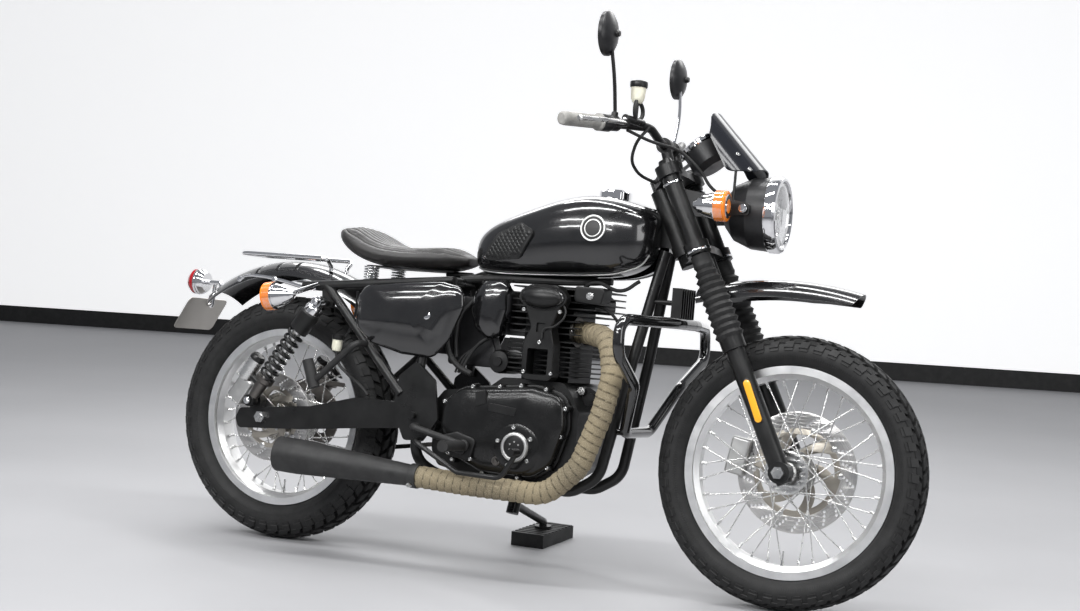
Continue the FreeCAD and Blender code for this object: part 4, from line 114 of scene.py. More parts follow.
# %% [markdown]
# Node maths reads best as ordinary sums. A small class wraps a socket, and its operators add
# the Math nodes. A second class adds every other node, for materials and for Geometry Nodes.
# %% Node helpers


class Amount:
    """A number that changes over a surface, with Python's operators."""

    def __init__(self, nodes, socket):
        self.nodes = nodes
        self.socket = socket

    def math(self, operation, other=0.0):
        return self.nodes.node("ShaderNodeMath", {"operation": operation}, {0: self, 1: other})

    def __add__(self, other):
        return self.math("ADD", other)

    def __sub__(self, other):
        return self.math("SUBTRACT", other)

    def __rsub__(self, other):
        return self * -1 + other

    def __mul__(self, other):
        return self.math("MULTIPLY", other)

    def __truediv__(self, other):
        return self.math("DIVIDE", other)

    __radd__ = __add__
    __rmul__ = __mul__


class Nodes:
    """A node tree that is built one node at a time."""

    def __init__(self, tree):
        self.tree = tree

    def fill(self, node, sockets):
        """Fills a node's sockets with numbers or links."""
        for key, value in sockets.items():
            socket = node.inputs[key] if isinstance(key, int) else next(
                s for s in node.inputs if key in (s.identifier, s.name) and s.enabled)
            if isinstance(value, Amount):
                self.tree.links.new(value.socket, socket)
            else:
                socket.default_value = value

    def node(self, kind, settings, sockets, output=0):
        """Adds a node: its settings first, then its sockets, and gives one output back."""
        node = self.tree.nodes.new(kind)
        for key, value in settings.items():
            setattr(node, key, value)
        self.fill(node, sockets)
        return Amount(self, node.outputs[output])


class Finish(Nodes):
    """One material. Numbers that are the same all over are set on the shader itself."""

    def __init__(self, name, color, roughness, metallic=0.0, **more):
        self.material = bpy.data.materials.new(name)
        self.material.use_nodes = True
        super().__init__(self.material.node_tree)
        self.shader = self.tree.nodes["Principled BSDF"]
        self.place = self.node("ShaderNodeTexCoord", {}, {}, "Object")
        self.set({"Base Color": (*color, 1), "Roughness": roughness, "Metallic": metallic})
        self.set({key.replace("_", " "): value for key, value in more.items()})

    def set(self, sockets):
        """Fills sockets of the shader."""
        self.fill(self.shader, sockets)

    def noise(self, scale, detail=3.0, stretch=(1, 1, 1), rough=0.5):
        """Cloudy variation, from 0 to 1, with about scale blobs a metre."""
        place = self.node("ShaderNodeMapping", {}, {"Vector": self.place, "Scale": stretch})
        return self.node("ShaderNodeTexNoise", {}, {"Vector": place, "Scale": scale, "Detail": detail,
                                                    "Roughness": rough})

    def cells(self, scale, feature="F1"):
        """Distance to the nearest point or edge of cells, scale of them to a metre."""
        return self.node("ShaderNodeTexVoronoi", {"feature": feature}, {"Vector": self.place, "Scale": scale})

    def blend(self, amount, low, high):
        """A colour between two others."""
        return self.node("ShaderNodeMix", {"data_type": "RGBA"}, {
            "Factor_Float": amount, "A_Color": low if isinstance(low, Amount) else (*low, 1),
            "B_Color": high if isinstance(high, Amount) else (*high, 1)}, 2)

    def ease(self, amount, low, high, to_low=0.0, to_high=1.0):
        """The amount between low and high, stretched to new ends."""
        return self.node("ShaderNodeMapRange", {}, {"Value": amount, "From Min": low, "From Max": high,
                                                    "To Min": to_low, "To Max": to_high})

    def bump(self, height, depth_mm, strength=1.0):
        """Relief of about that depth."""
        self.set({"Normal": self.node("ShaderNodeBump", {}, {
            "Height": height, "Distance": depth_mm * MM, "Strength": strength})})
        return self


# %% [markdown]
# Black paint on this machine comes in three kinds: a wet gloss under clear coat on the tank,
# panels and fenders, satin powder coat on tubes and brackets, and a duller heat-proof coat
# on the engine and muffler. None is one flat colour: dust and fine waviness change the gloss.
# %% Paints
def gloss_paint():
    """Wet black paint under clear coat, with a little dust."""
    f = Finish("gloss_black_paint", (0.006, 0.006, 0.0065), 0.16,
               Coat_Weight=1.0, Coat_Roughness=0.03, Coat_IOR=1.5)
    dust = f.ease(f.noise(38, 6, rough=0.7), 0.42, 0.8)
    f.set({"Base Color": f.blend(dust, (0.005, 0.005, 0.0055), (0.011, 0.011, 0.011)),
           "Roughness": f.ease(f.noise(9, 5), 0.3, 0.75, 0.12, 0.24)})
    return f.bump(f.noise(260, 2), 0.012, 0.25)


def powder_coat(name, shade, rough, grain):
    """Satin or matte powder coat with its orange-peel skin."""
    f = Finish(name, (shade, shade, shade), rough, Specular_IOR_Level=0.36)
    wear = f.ease(f.noise(22, 6, rough=0.65), 0.35, 0.75)
    f.set({"Base Color": f.blend(wear, (shade * 0.75,) * 3, (shade * 1.6,) * 3),
           "Roughness": f.ease(f.noise(14, 5), 0.3, 0.7, rough - 0.07, rough + 0.1)})
    return f.bump(f.noise(grain, 3), 0.06, 0.45)


paint = gloss_paint()
satin = powder_coat("satin_powder_coat", 0.009, 0.32, 900)
case_black = powder_coat("engine_coat", 0.008, 0.36, 1400)
heat_black = powder_coat("heat_proof_coat", 0.022, 0.5, 700)
case_gloss = powder_coat("engine_gloss", 0.008, 0.2, 1400)
print("paints made")

# %% [markdown]
# Bare metals differ in how they were worked: the rims are anodised and almost white, the
# discs are ground in circles, the spokes and nuts are zinc bright, and the trim is chrome.
# %% Metals


def bare_metal(name, shade, rough, spread=0.08, scale=30, stretch=(1, 1, 1)):
    """Metal with patches that are more and less polished."""
    f = Finish(name, shade, rough, 1.0)
    worn = f.noise(scale, 6, stretch, 0.65)
    f.set({"Roughness": f.ease(worn, 0.3, 0.7, max(rough - spread, 0.02), rough + spread),
           "Base Color": f.blend(worn, [c * 0.86 for c in shade], [min(c * 1.08, 1) for c in shade])})
    return f


rim_metal = bare_metal("anodised_rim", (0.86, 0.86, 0.855), 0.33, 0.05)
bright_steel = bare_metal("zinc_steel", (0.68, 0.68, 0.67), 0.26)
chrome = bare_metal("chrome", (0.83, 0.83, 0.84), 0.06, 0.03, 18)
cast_metal = bare_metal("cast_aluminium", (0.56, 0.56, 0.55), 0.42)
cast_metal.bump(cast_metal.noise(1500, 3), 0.08, 0.6)
plate_metal = bare_metal("bare_plate", (0.47, 0.45, 0.42), 0.45)
dark_steel = bare_metal("oiled_steel", (0.16, 0.15, 0.14), 0.36)


def ground_disc(name, joint, shade):
    """A brake disc, ground in circles about its axle."""
    f = Finish(name, shade, 0.3, 1.0)
    axis = Vector(joints[joint]["axis"]).normalized()
    centre = Vector(joints[joint]["pos_m"])
    offset = f.node("ShaderNodeVectorMath", {"operation": "SUBTRACT"}, {0: f.place, 1: centre})
    across = f.node("ShaderNodeVectorMath", {"operation": "CROSS_PRODUCT"}, {0: offset, 1: axis})
    reach = f.node("ShaderNodeVectorMath", {"operation": "LENGTH"}, {0: across}, 1)
    rings = f.node("ShaderNodeTexNoise", {"noise_dimensions": "1D"}, {"W": reach, "Scale": 1800, "Detail": 2})
    f.set({"Roughness": f.ease(rings, 0.3, 0.7, 0.22, 0.4),
           "Base Color": f.blend(rings, [c * 0.9 for c in shade], shade)})
    return f.bump(rings, 0.02, 0.3)


front_disc_metal = ground_disc("front_disc_metal", "front_wheel_spin", (0.62, 0.61, 0.6))
rear_disc_metal = ground_disc("rear_disc_metal", "rear_wheel_spin", (0.55, 0.54, 0.53))
print("metals made")

# %% [markdown]
# Rubber, plastic, leather, cloth and glass finish the set. Their grain is bump, at the size
# of the real grain, and their colour drifts a little so that no face is dead flat.
# %% Soft and clear finishes


def moulded(name, shade, rough, grain, depth=0.05):
    """Rubber or plastic with a fine grain and a little dust."""
    f = Finish(name, shade, rough, Specular_IOR_Level=0.34)
    dust = f.ease(f.noise(26, 6, rough=0.7), 0.4, 0.8)
    dusty = [min(c * 1.5 + 0.004, 1) for c in shade]
    f.set({"Base Color": f.blend(dust, [c * 0.85 for c in shade], dusty),
           "Roughness": f.ease(f.noise(18, 4), 0.3, 0.7, rough - 0.07, rough + 0.07)})
    return f.bump(f.noise(grain, 3), depth, 0.5)


tyre_rubber = moulded("tyre_rubber", (0.012, 0.012, 0.012), 0.58, 700, 0.1)
# Near-black rubber that lines the tyres' groove floors: painted shade between the tread blocks.
groove_rubber = moulded("groove_rubber", (0.003, 0.003, 0.003), 0.9, 700)
rubber = moulded("soft_rubber", (0.017, 0.017, 0.017), 0.55, 900)
plastic = moulded("black_plastic", (0.014, 0.014, 0.015), 0.36, 1100)
grey_rubber = moulded("grey_grip", (0.27, 0.265, 0.25), 0.6, 700, 0.1)
cream = moulded("cream_plastic", (0.72, 0.68, 0.55), 0.35, 500, 0.02)

leather = Finish("black_leather", (0.014, 0.013, 0.013), 0.38)
pores = leather.cells(520, "DISTANCE_TO_EDGE")
folds = leather.noise(60, 5)
leather.set({"Base Color": leather.blend(folds, (0.010, 0.0095, 0.009), (0.026, 0.024, 0.023)),
             "Roughness": leather.ease(folds, 0.3, 0.75, 0.3, 0.5)})
leather.bump(leather.ease(pores, 0, 0.12) + folds * 0.6, 0.16, 0.5)

clear_glass = Finish("clear_glass", (1, 1, 1), 0.02, Transmission_Weight=1.0, IOR=1.35)
smoke = Finish("smoked_screen", (0.012, 0.013, 0.016), 0.12, Specular_IOR_Level=0.22)
amber = Finish("amber_lens", (0.85, 0.22, 0.008), 0.2, Coat_Weight=0.6)
red = Finish("red_lens", (0.32, 0.004, 0.008), 0.15, Coat_Weight=0.8)
rubber_shiny = moulded("pad_rubber", (0.012, 0.012, 0.012), 0.34, 900)
reflector = Finish("amber_reflector", (0.9, 0.42, 0.02), 0.25, Coat_Weight=0.6)
silvered = Finish("silvered_glass", (0.9, 0.9, 0.92), 0.01, 1.0)
wrap_plain = moulded("heat_wrap_plain", (0.26, 0.22, 0.15), 0.8, 900, 0.3)
print("soft finishes made")

# %% [markdown]
# Each solid from the frame gets one of these finishes. What a made piece stands for is
# replaced further down.
# %% Finish the solids
finishes = {
    "fuel_tank side_panels front_fender rear_fender engine_guard": paint,
    "frame_spine frame_cradle rear_frame swing_arm handlebar steering_stem fork_tubes fork_lowers": satin,
    "side_stand foot_levers seat_frame shocks regulator": satin,
    "front_caliper rear_caliper": cast_metal,
    "crankcase clutch_cover left_cover cylinder cylinder_head cam_tower": case_black,
    "muffler": heat_black, "exhaust_pipe": wrap_plain,
    "front_rim rear_rim": rim_metal,
    "front_hub rear_hub front_axle rear_axle seat_springs": bright_steel,
    "rear_sprocket drive_chain": dark_steel,
    "front_disc": front_disc_metal, "rear_disc": rear_disc_metal,
    "rear_rack rear_lamps front_indicators tank_cap": chrome,
    "front_tyre rear_tyre": tyre_rubber, "cables": rubber,
    "fork_gaiters knee_pads footpegs stand_block": rubber,
    "air_box headlamp_shell mirrors bar_controls gauge": plastic,
    "grips": grey_rubber, "seat": leather, "headlamp_glass": clear_glass, "fly_screen": smoke,
    "number_plate": plate_metal}
for names, finish in finishes.items():
    for name in names.split():
        solid = frame["nodes"][name]
        solid.data.materials.clear()
        solid.data.materials.append(finish.material)
left_over = set(frame["nodes"]) - set(" ".join(finishes).split())
print("finished solids, left over:", left_over)

# %% [markdown]
# Every made piece ends the same way: its mesh is moved to its parked place, its soft edges are
# marked smooth, it is hung on the body that it rides on, and the solids that it stands for are hidden. The
# object itself stays at the origin, so that patterns on Object coordinates never slide.
# %% Helpers for made pieces


SHARP = math.radians(32)
SAME_POINT = 1e-6


def linked(name, data):
    """A new object in the scene."""
    item = bpy.data.objects.new(name, data)
    bpy.context.collection.objects.link(item)
    return item


def form_of(mesh):
    """An editable form of a mesh."""
    form = bmesh.new()
    form.from_mesh(mesh)
    return form


def mesh_from(form, name, outwards=False):
    """The mesh of a form that is done with, its faces turned outwards if that is asked for."""
    if outwards:
        bmesh.ops.recalc_face_normals(form, faces=form.faces)
    mesh = bpy.data.meshes.new(name)
    form.to_mesh(mesh)
    form.free()
    return mesh


def evaluated(holder):
    """What an object's modifiers or its curve come to, as a plain mesh."""
    depsgraph = bpy.context.evaluated_depsgraph_get()
    return bpy.data.meshes.new_from_object(holder.evaluated_get(depsgraph), depsgraph=depsgraph)


def edges_by_angle(mesh):
    """Smooth shading with sharp edges kept where faces meet at a steep angle."""
    form = form_of(mesh)
    bmesh.ops.remove_doubles(form, verts=form.verts, dist=SAME_POINT)
    for face in form.faces:
        face.smooth = True
    for edge in form.edges:
        edge.smooth = len(edge.link_faces) == 2 and edge.calc_face_angle(0) < SHARP
    form.to_mesh(mesh)
    form.free()


def piece(name, mesh, finish, body, slot, place, *stands_for):
    """A finished piece: parked, riding on its body, in place of solids if it names any."""
    mesh.transform(place)
    if finish:
        mesh.materials.clear()
        mesh.materials.append(finish.material)
    edges_by_angle(mesh)
    shape = linked(name, mesh)
    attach(shape, body)
    if stands_for:
        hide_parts(*stands_for)
    print(name, len(mesh.polygons), "faces on", body)
    return shape


def joined(meshes):
    """Several meshes as one, with their materials."""
    whole = bmesh.new()
    materials = []
    for mesh in meshes:
        part = form_of(mesh)
        for face in part.faces:
            finish = mesh.materials[face.material_index] if mesh.materials else None
            if finish not in materials:
                materials.append(finish)
            face.material_index = materials.index(finish)
        part.to_mesh(mesh)
        part.free()
        whole.from_mesh(mesh)
    mesh = mesh_from(whole, "joined")
    for finish in materials:
        if finish:
            mesh.materials.append(finish)
    return mesh


def painted(mesh, finish):
    """The same mesh with one finish."""
    mesh.materials.clear()
    mesh.materials.append(finish.material)
    return mesh


def skin_between(form, low, high):
    """Faces between two rings of corners. A ring that is one point closes to it."""
    for k in range(len(low)):
        after = (k + 1) % len(low)
        corners = list(dict.fromkeys((low[k], low[after], high[after], high[k])))
        if len(corners) > 2:
            form.faces.new(corners)


def lathe(profile, steps=48, closed=False):
    """A mesh turned about Z from (radius, height) pairs in millimetres."""
    form = bmesh.new()
    rings = []
    for radius, height in profile:
        if radius == 0:
            rings.append([form.verts.new((0, 0, height * MM))] * steps)
            continue
        rings.append([form.verts.new((radius * math.cos(math.tau * k / steps) * MM,
                                      radius * math.sin(math.tau * k / steps) * MM, height * MM))
                      for k in range(steps)])
    pairs = list(zip(rings, rings[1:])) + ([(rings[-1], rings[0])] if closed else [])
    for low, high in pairs:
        skin_between(form, low, high)
    return mesh_from(form, "turned", True)


def facing(place, direction):
    """A matrix that stands a mesh's Z axis along a direction at a place."""
    turn = Vector(direction).to_track_quat("Z", "Y").to_matrix().to_4x4()
    return Matrix.Translation(place) @ turn


def moved(mesh, matrix):
    """A copy of a mesh, moved."""
    copy = mesh.copy()
    copy.transform(matrix)
    if matrix.determinant() < 0:
        copy.flip_normals()
    return copy


def set_on(place, direction, shape, finish):
    """A finished copy of a shape, stood along a direction at a place."""
    return painted(moved(shape, facing(place, direction)), finish)


def across_machine(mesh):
    """The mesh and its twin on the other side."""
    return [mesh, moved(mesh, Matrix.Scale(-1, 4, (0, 1, 0)))]


def bent_bar(points, radius, bend=30):
    """A round bar through points in metres, its corners rounded."""
    rounding = 8
    curve = bpy.data.curves.new("bar", "CURVE")
    curve.dimensions = "3D"
    curve.bevel_depth = radius * MM
    curve.bevel_resolution = 4
    curve.use_fill_caps = True
    path = [points[0]]
    for before, corner, after in zip(points, points[1:], points[2:]):
        reach = min(bend * MM, (corner - before).length * 0.48, (after - corner).length * 0.48)
        start = corner + (before - corner).normalized() * reach
        stop = corner + (after - corner).normalized() * reach
        for step in range(rounding + 1):
            t = step / rounding
            path.append(start * (1 - t) ** 2 + corner * 2 * t * (1 - t) + stop * t * t)
    path.append(points[-1])
    spline = curve.splines.new("POLY")
    spline.points.add(len(path) - 1)
    for point, spot in zip(spline.points, path):
        point.co = (*spot, 1)
    return mesh_of(curve)


def mesh_of(data):
    """A curve's surface as a plain mesh."""
    holder = linked("holder", data)
    mesh = evaluated(holder)
    bpy.data.objects.remove(holder)
    return mesh


def cut_plate(outlines, thickness, edge=0.4):
    """A flat plate with holes: the first outline is its rim, in millimetres, upwards along Z."""
    curve = bpy.data.curves.new("plate", "CURVE")
    curve.dimensions = "2D"
    curve.fill_mode = "BOTH"
    curve.extrude = (thickness / 2 - edge) * MM
    curve.bevel_depth = edge * MM
    curve.bevel_resolution = 1
    curve.offset = -edge * MM
    for outline in outlines:
        spline = curve.splines.new("POLY")
        spline.points.add(len(outline) - 1)
        spline.use_cyclic_u = True
        for point, (x, y) in zip(spline.points, outline):
            point.co = (x * MM, y * MM, 0, 1)
    return mesh_of(curve)


def circle(x, y, radius, steps=20):
    """The corners of a round hole."""
    return [(x + radius * math.cos(math.tau * k / steps), y + radius * math.sin(math.tau * k / steps))
            for k in range(steps)]


# %% [markdown]
# Much of a motorcycle repeats: tread blocks, nipples, bolts, links, coils. Geometry Nodes make
# these from one model each. The class below builds a tree in code, with named inputs, and
# turns its result into a plain mesh.
# %% Geometry Nodes helper


class Tree(Nodes):
    """A Geometry Nodes tree with named inputs."""

    def __init__(self, name, inputs):
        super().__init__(bpy.data.node_groups.new(name, "GeometryNodeTree"))
        sockets = self.tree.interface
        sockets.new_socket("Shape", in_out="OUTPUT", socket_type="NodeSocketGeometry")
        sockets.new_socket("Shape", in_out="INPUT", socket_type="NodeSocketGeometry")
        for label, kind in inputs.items():
            sockets.new_socket(label, in_out="INPUT", socket_type="NodeSocket" + kind)
        given = self.tree.nodes.new("NodeGroupInput")
        self.given = {output.name: Amount(self, output) for output in given.outputs}
        self.result = self.tree.nodes.new("NodeGroupOutput")

    def end(self, shape):
        """Real faces with the finish that was asked for, as the tree's result."""
        shape = self.node("GeometryNodeRealizeInstances", {}, {"Geometry": shape})
        shape = self.node("GeometryNodeSetMaterial", {}, {
            "Geometry": shape, "Material": self.given["Finish"]})
        self.fill(self.result, {"Shape": shape})

    def grow(self, base, finish, **values):
        """The plain mesh that the tree makes from a base and its sizes."""
        holder = linked("holder", base)
        modifier = holder.modifiers.new("tree", "NODES")
        modifier.node_group = self.tree
        values["Finish"] = finish.material
        for socket in self.tree.interface.items_tree:
            if socket.in_out == "INPUT" and socket.name in values:
                modifier[socket.identifier] = values[socket.name]
        mesh = evaluated(holder)
        holder.modifiers.remove(modifier)
        bpy.data.objects.remove(holder)
        return mesh


# %% [markdown]
# The first tree sets copies of a shape round an axle, each turned to face outwards. It makes
# tread blocks, sidewall ribs, nipples and bolt circles, which is why its tilt is an input.
# %% Copies round an axle


def copies_round():
    """Copies of the given shape on a circle about the Y axis."""
    tree = Tree("copies_round", {"Count": "Int", "Radius": "Float", "Side": "Float", "Tilt": "Float",
                                 "Start": "Float", "Finish": "Material"})
    step = tree.node("GeometryNodeInputIndex", {}, {})
    turn = step * math.tau / tree.given["Count"] + tree.given["Start"]
    place = tree.node("ShaderNodeCombineXYZ", {}, {
        "X": turn.math("SINE") * tree.given["Radius"], "Y": tree.given["Side"],
        "Z": turn.math("COSINE") * tree.given["Radius"]})
    points = tree.node("GeometryNodePoints", {}, {"Count": tree.given["Count"], "Position": place})
    angles = tree.node("ShaderNodeCombineXYZ", {}, {"X": tree.given["Tilt"], "Y": turn})
    tree.end(tree.node("GeometryNodeInstanceOnPoints", {}, {
        "Points": points, "Instance": tree.given["Shape"], "Rotation": angles}))
    return tree


round_axle = copies_round()
print("tree", round_axle.tree.name)


def slab(corners, height, inset=0.8, sink=3.0):
    """A block with sloped sides from its top's corners in millimetres, its base sunk in."""
    form = bmesh.new()
    middle = Vector((sum(x for x, y in corners), sum(y for x, y in corners))) / len(corners)
    low, rim, top = [], [], []
    for x, y in corners:
        outward = (Vector((x, y)) - middle).normalized() * inset
        low.append(form.verts.new((Vector((x, y, 0)) + Vector((*outward, -sink))) * MM))
        rim.append(form.verts.new(Vector((x, y, height - inset * 0.5)) * MM))
        top.append(form.verts.new((Vector((x, y, height)) - Vector((*outward, 0)) * 0.6) * MM))
    skin_between(form, low, rim)
    skin_between(form, rim, top)
    form.faces.new(top)
    form.faces.new(low[::-1])
    return mesh_from(form, "slab", True)


# %% [markdown]
# The tyres are block-pattern road tyres. Each is a turned carcass with its tread cut away, and
# the blocks stand back on it in rows that follow the crown, so their tops keep the true size.
# %% Tyres


def arc_between(first, middle, last, steps):
    """Points on the arc through three (across, radius) pairs."""
    (ax, ay), (bx, by), (cx, cy) = first, middle, last
    d = 2 * (ax * (by - cy) + bx * (cy - ay) + cx * (ay - by))
    a, b, c = ax * ax + ay * ay, bx * bx + by * by, cx * cx + cy * cy
    ox = (a * (by - cy) + b * (cy - ay) + c * (ay - by)) / d
    oy = (a * (cx - bx) + b * (ax - cx) + c * (bx - ax)) / d
    radius = math.hypot(ax - ox, ay - oy)
    angles = [math.atan2(y - oy, x - ox) for x, y in (first, middle, last)]
    for k in (1, 2):
        while angles[k] - angles[k - 1] > math.pi:
            angles[k] -= math.tau
        while angles[k] - angles[k - 1] < -math.pi:
            angles[k] += math.tau
    return [(ox + radius * math.cos(t), oy + radius * math.sin(t))
            for t in (angles[0] + (angles[2] - angles[0]) * k / steps for k in range(steps + 1))]


ON_AXLE = Matrix.Rotation(-math.pi / 2, 4, "X")


def turned_on_axle(section, steps, centre, closed=False):
    """A mesh turned about an axle from (across, radius) pairs."""
    mesh = lathe([(radius, across) for across, radius in section], steps, closed)
    mesh.transform(Matrix.Translation(centre) @ ON_AXLE)
    return mesh


GROOVE, RIM_FLANGE, BEAD_DEPTH = 8.0, 4.1, 14
SHOULDER_ACROSS, SHOULDER_DROP = 0.80, 0.34


def tyre(name, node, body, place, centre, radius, width, rim_radius, rim_width, count, rows):
    """Carcass, tread blocks and sidewall ribs of one tyre, with count blocks in each row."""
    half = width / 2
    shoulder = (SHOULDER_ACROSS * half, radius - SHOULDER_DROP * half)
    bead = rim_width / 2 - RIM_FLANGE
    wall = arc_between((bead, rim_radius + 0.1), (half, (radius + rim_radius) / 2), shoulder, 14)
    crown = arc_between(shoulder, (0, radius), (-shoulder[0], shoulder[1]), 24)
    bottom = [(y * 0.985, r - GROOVE) for y, r in crown[2:-2]]
    side_wall = [(bead, rim_radius - BEAD_DEPTH)] + wall[:-1] + [shoulder]
    section = side_wall + bottom + [(-y, r) for y, r in reversed(side_wall)]
    # The groove floor between the blocks gets a near-black lining: painted shade in the grooves.
    groove_shade_lining = [(y, r + 0.3) for y, r in bottom] + [(y, r - 1.2) for y, r in reversed(bottom)]
    parts = [painted(turned_on_axle(section, 180, centre), tyre_rubber),
             painted(turned_on_axle(groove_shade_lining, 180, centre, True), groove_rubber)]
    crown_drop = radius - shoulder[1]
    crown_radius = (shoulder[0] ** 2 + crown_drop ** 2) / (2 * crown_drop)
    for across, length, breadth, slant, start in rows:
        tilt = math.asin(max(-0.99, min(0.99, across / crown_radius)))
        reach = radius - crown_radius * (1 - math.cos(tilt))
        corners = [(-length / 2 - slant, -breadth / 2), (length / 2 - slant, -breadth / 2),
                   (length / 2 + slant, breadth / 2), (-length / 2 + slant, breadth / 2)]
        if abs(across) < 1:
            corners = [(-length / 2, 0), (-length / 4, -breadth / 2), (length / 4, -breadth / 2),
                       (length / 2, 0), (length / 4, breadth / 2), (-length / 4, breadth / 2)]
        block = slab(corners, GROOVE, 0.9, 1.5)
        row = round_axle.grow(block, tyre_rubber, Count=count, Radius=(reach - GROOVE) * MM,
                              Side=across * MM, Tilt=-tilt, Start=start * math.tau / count)
        row.transform(Matrix.Translation(centre))
        parts.append(row)
    lugs = [(12.3, 12.5, 9.5, 3.2, count, 0.5), (10.2, 11.5, 5.5, 1.9, count, 0.5),
            (6.2, 1.1, 3.4, 0.6, 300, 0.0)]
    for place_on_wall, length, breadth, height, repeats, start in lugs:
        low, high = wall[int(place_on_wall)], wall[int(place_on_wall) + 1]
        share = place_on_wall % 1
        across, reach = (a + (b - a) * share for a, b in zip(low, high))
        slope = math.atan2(high[1] - low[1], low[0] - high[0])
        short = length * 0.7
        lug = slab([(-length, -breadth), (short, -breadth), (length, breadth), (-short, breadth)],
                   height, min(height * 0.5, 0.8), 1.2)
        for side in (-1, 1):
            row = round_axle.grow(lug, tyre_rubber, Count=repeats, Radius=reach * MM, Side=side * across * MM,
                                  Tilt=-side * slope, Start=start * math.tau / repeats)
            row.transform(Matrix.Translation(centre))
            parts.append(row)
    piece(name, joined(parts), None, body, "tyre", place, node)


def tread_rows(middle, *pairs):
    """The middle row of blocks, and rows that come in pairs across the tyre.

    A row is its place across, its blocks' length, breadth and slant, and its start in blocks."""
    rows = [middle]
    for across, length, breadth, slant, start in pairs:
        rows += [(side * across, length, breadth, side * slant, start) for side in (1, -1)]
    return rows


front_rows = tread_rows((0, 33, 15, 0, 0), (18, 27, 14, 7, 0.5), (36, 28, 15, -6, 0))
rear_rows = tread_rows((0, 34, 18, 0, 0), (21, 28, 16, 7, 0.5), (43, 29, 18, -6, 0))
tyre("front_tyre_treaded", "front_tyre", "front_wheel", steered, front_axle, 333, 104, 258, 68, 52,
     front_rows)
tyre("rear_tyre_treaded", "rear_tyre", "rear_wheel", parked, rear_axle, 332.5, 132, 241, 94, 50, rear_rows)

# %% [markdown]
# Bolts, studs and patterns must sit on the solids' own surfaces. A ray sent at a solid gives
# the place that it hits and the way the surface faces there, so nothing floats or sinks in.
# %% Places on a surface


RAY_START = 600


def surface_of(node, place):
    """A ray tester for one solid, on the upright machine."""
    form = form_of(frame["nodes"][node].data)
    bmesh.ops.transform(form, matrix=place.inverted(), verts=form.verts)
    rays = BVHTree.FromBMesh(form)
    form.free()
    return rays


def from_side(rays, spots, side=-1):
    """Places and facings where level rays from one side meet a surface at (x, z) spots."""
    found = []
    for x, z in spots:
        place, outward = rays.ray_cast(at(x, side * RAY_START, z), Vector((0, -side, 0)))[:2]
        if place:
            found.append((place, outward))
    return found


def seated(place, outward, up=(0, 0, 1)):
    """A matrix that stands a mesh on a surface, its Y axis as near to up as it can be."""
    z = Vector(outward).normalized()
    x = Vector(up).cross(z).normalized()
    return Matrix.Translation(place) @ Matrix((x, z.cross(x), z)).transposed().to_4x4()


def copies_at():
    """Copies of an object on each point, standing along the point's own outward direction."""
    tree = Tree("copies_at", {"Copy": "Object", "Up": "Vector", "Finish": "Material"})
    outward = tree.node("GeometryNodeInputNamedAttribute", {"data_type": "FLOAT_VECTOR"}, {"Name": "outward"})
    turn = tree.node("FunctionNodeAlignRotationToVector", {"axis": "Z"}, {"Vector": outward})
    turn = tree.node("FunctionNodeAlignRotationToVector", {"axis": "Y", "pivot_axis": "Z"}, {
        "Rotation": turn, "Vector": tree.given["Up"]})
    copy = tree.node("GeometryNodeObjectInfo", {}, {"Object": tree.given["Copy"]}, "Geometry")
    tree.end(tree.node("GeometryNodeInstanceOnPoints", {}, {
        "Points": tree.given["Shape"], "Instance": copy, "Rotation": turn}))
    return tree


at_points = copies_at()


def scattered(shape, finish, places, up=(0, 0, 1)):
    """One mesh with a copy of the shape at each (place, outward) pair."""
    base = bpy.data.meshes.new("points")
    base.from_pydata([place for place, outward in places], [], [])
    attribute = base.attributes.new("outward", "FLOAT_VECTOR", "POINT")
    for item, (place, outward) in zip(attribute.data, places):
        item.vector = outward
    model = linked("model", shape)
    mesh = at_points.grow(base, finish, Copy=model, Up=up)
    bpy.data.objects.remove(model)
    return mesh


def hexagon_head(radius, height):
    """A hexagon bolt head on its washer."""
    head = lathe([(0, height), (radius * 0.82, height), (radius, height * 0.82), (radius, 0), (0, -0.5)], 6)
    washer = lathe([(0, 0.9), (radius * 1.25, 0.9), (radius * 1.3, 0.5), (radius * 1.3, -1), (0, -1)], 16)
    return joined([head, washer])


def socket_head(radius, height):
    """A round screw head with a sunk socket."""
    return lathe([(0, height * 0.3), (radius * 0.5, height * 0.3), (radius * 0.55, height),
                  (radius * 0.86, height), (radius, height * 0.85), (radius, -1.5), (0, -1.5)], 14)


print("trees", round_axle.tree.name, at_points.tree.name)

# %% [markdown]
# A floating disc is two plates: a drilled steel band, and a carrier with curved arms that
# holds it by round buttons. Flat curves with holes cut the plates, as a laser cutter does.
# %% Brake discs


def ring_point(radius, degrees):
    """A place on a circle."""
    return radius * math.cos(math.radians(degrees)), radius * math.sin(math.radians(degrees))


def curved_window(start, inner, outer, width, sweep):
    """The outline of one curved opening between two arms of a carrier."""
    low = [ring_point(inner, start + width * 0.8 * k / 6) for k in range(7)]
    after = [ring_point(inner + (outer - inner) * k / 5, start + width * (0.8 + 0.04 * k) + sweep * k / 5)
             for k in range(1, 5)]
    high = [ring_point(outer, start + sweep + width * (1 - k / 8)) for k in range(9)]
    before = [ring_point(outer - (outer - inner) * k / 5, start + sweep * (1 - k / 5)) for k in range(1, 5)]
    return low + after + high + before


def upright_plate(outlines, thickness, centre, y):
    """A cut plate stood on an axle, at y across the machine."""
    plate = cut_plate(outlines, thickness)
    plate.transform(Matrix.Translation(centre + at(0, y, 0)) @ ON_AXLE)
    return plate


DRILL_RADIUS, DRILLS_A_GROUP = 3.3, 4
BAND_THICKNESS, CARRIER_THICKNESS = 5, 3.6
CARRIER_ARMS, DISC_BUTTONS, HUB_BOLTS = 6, 10, 6


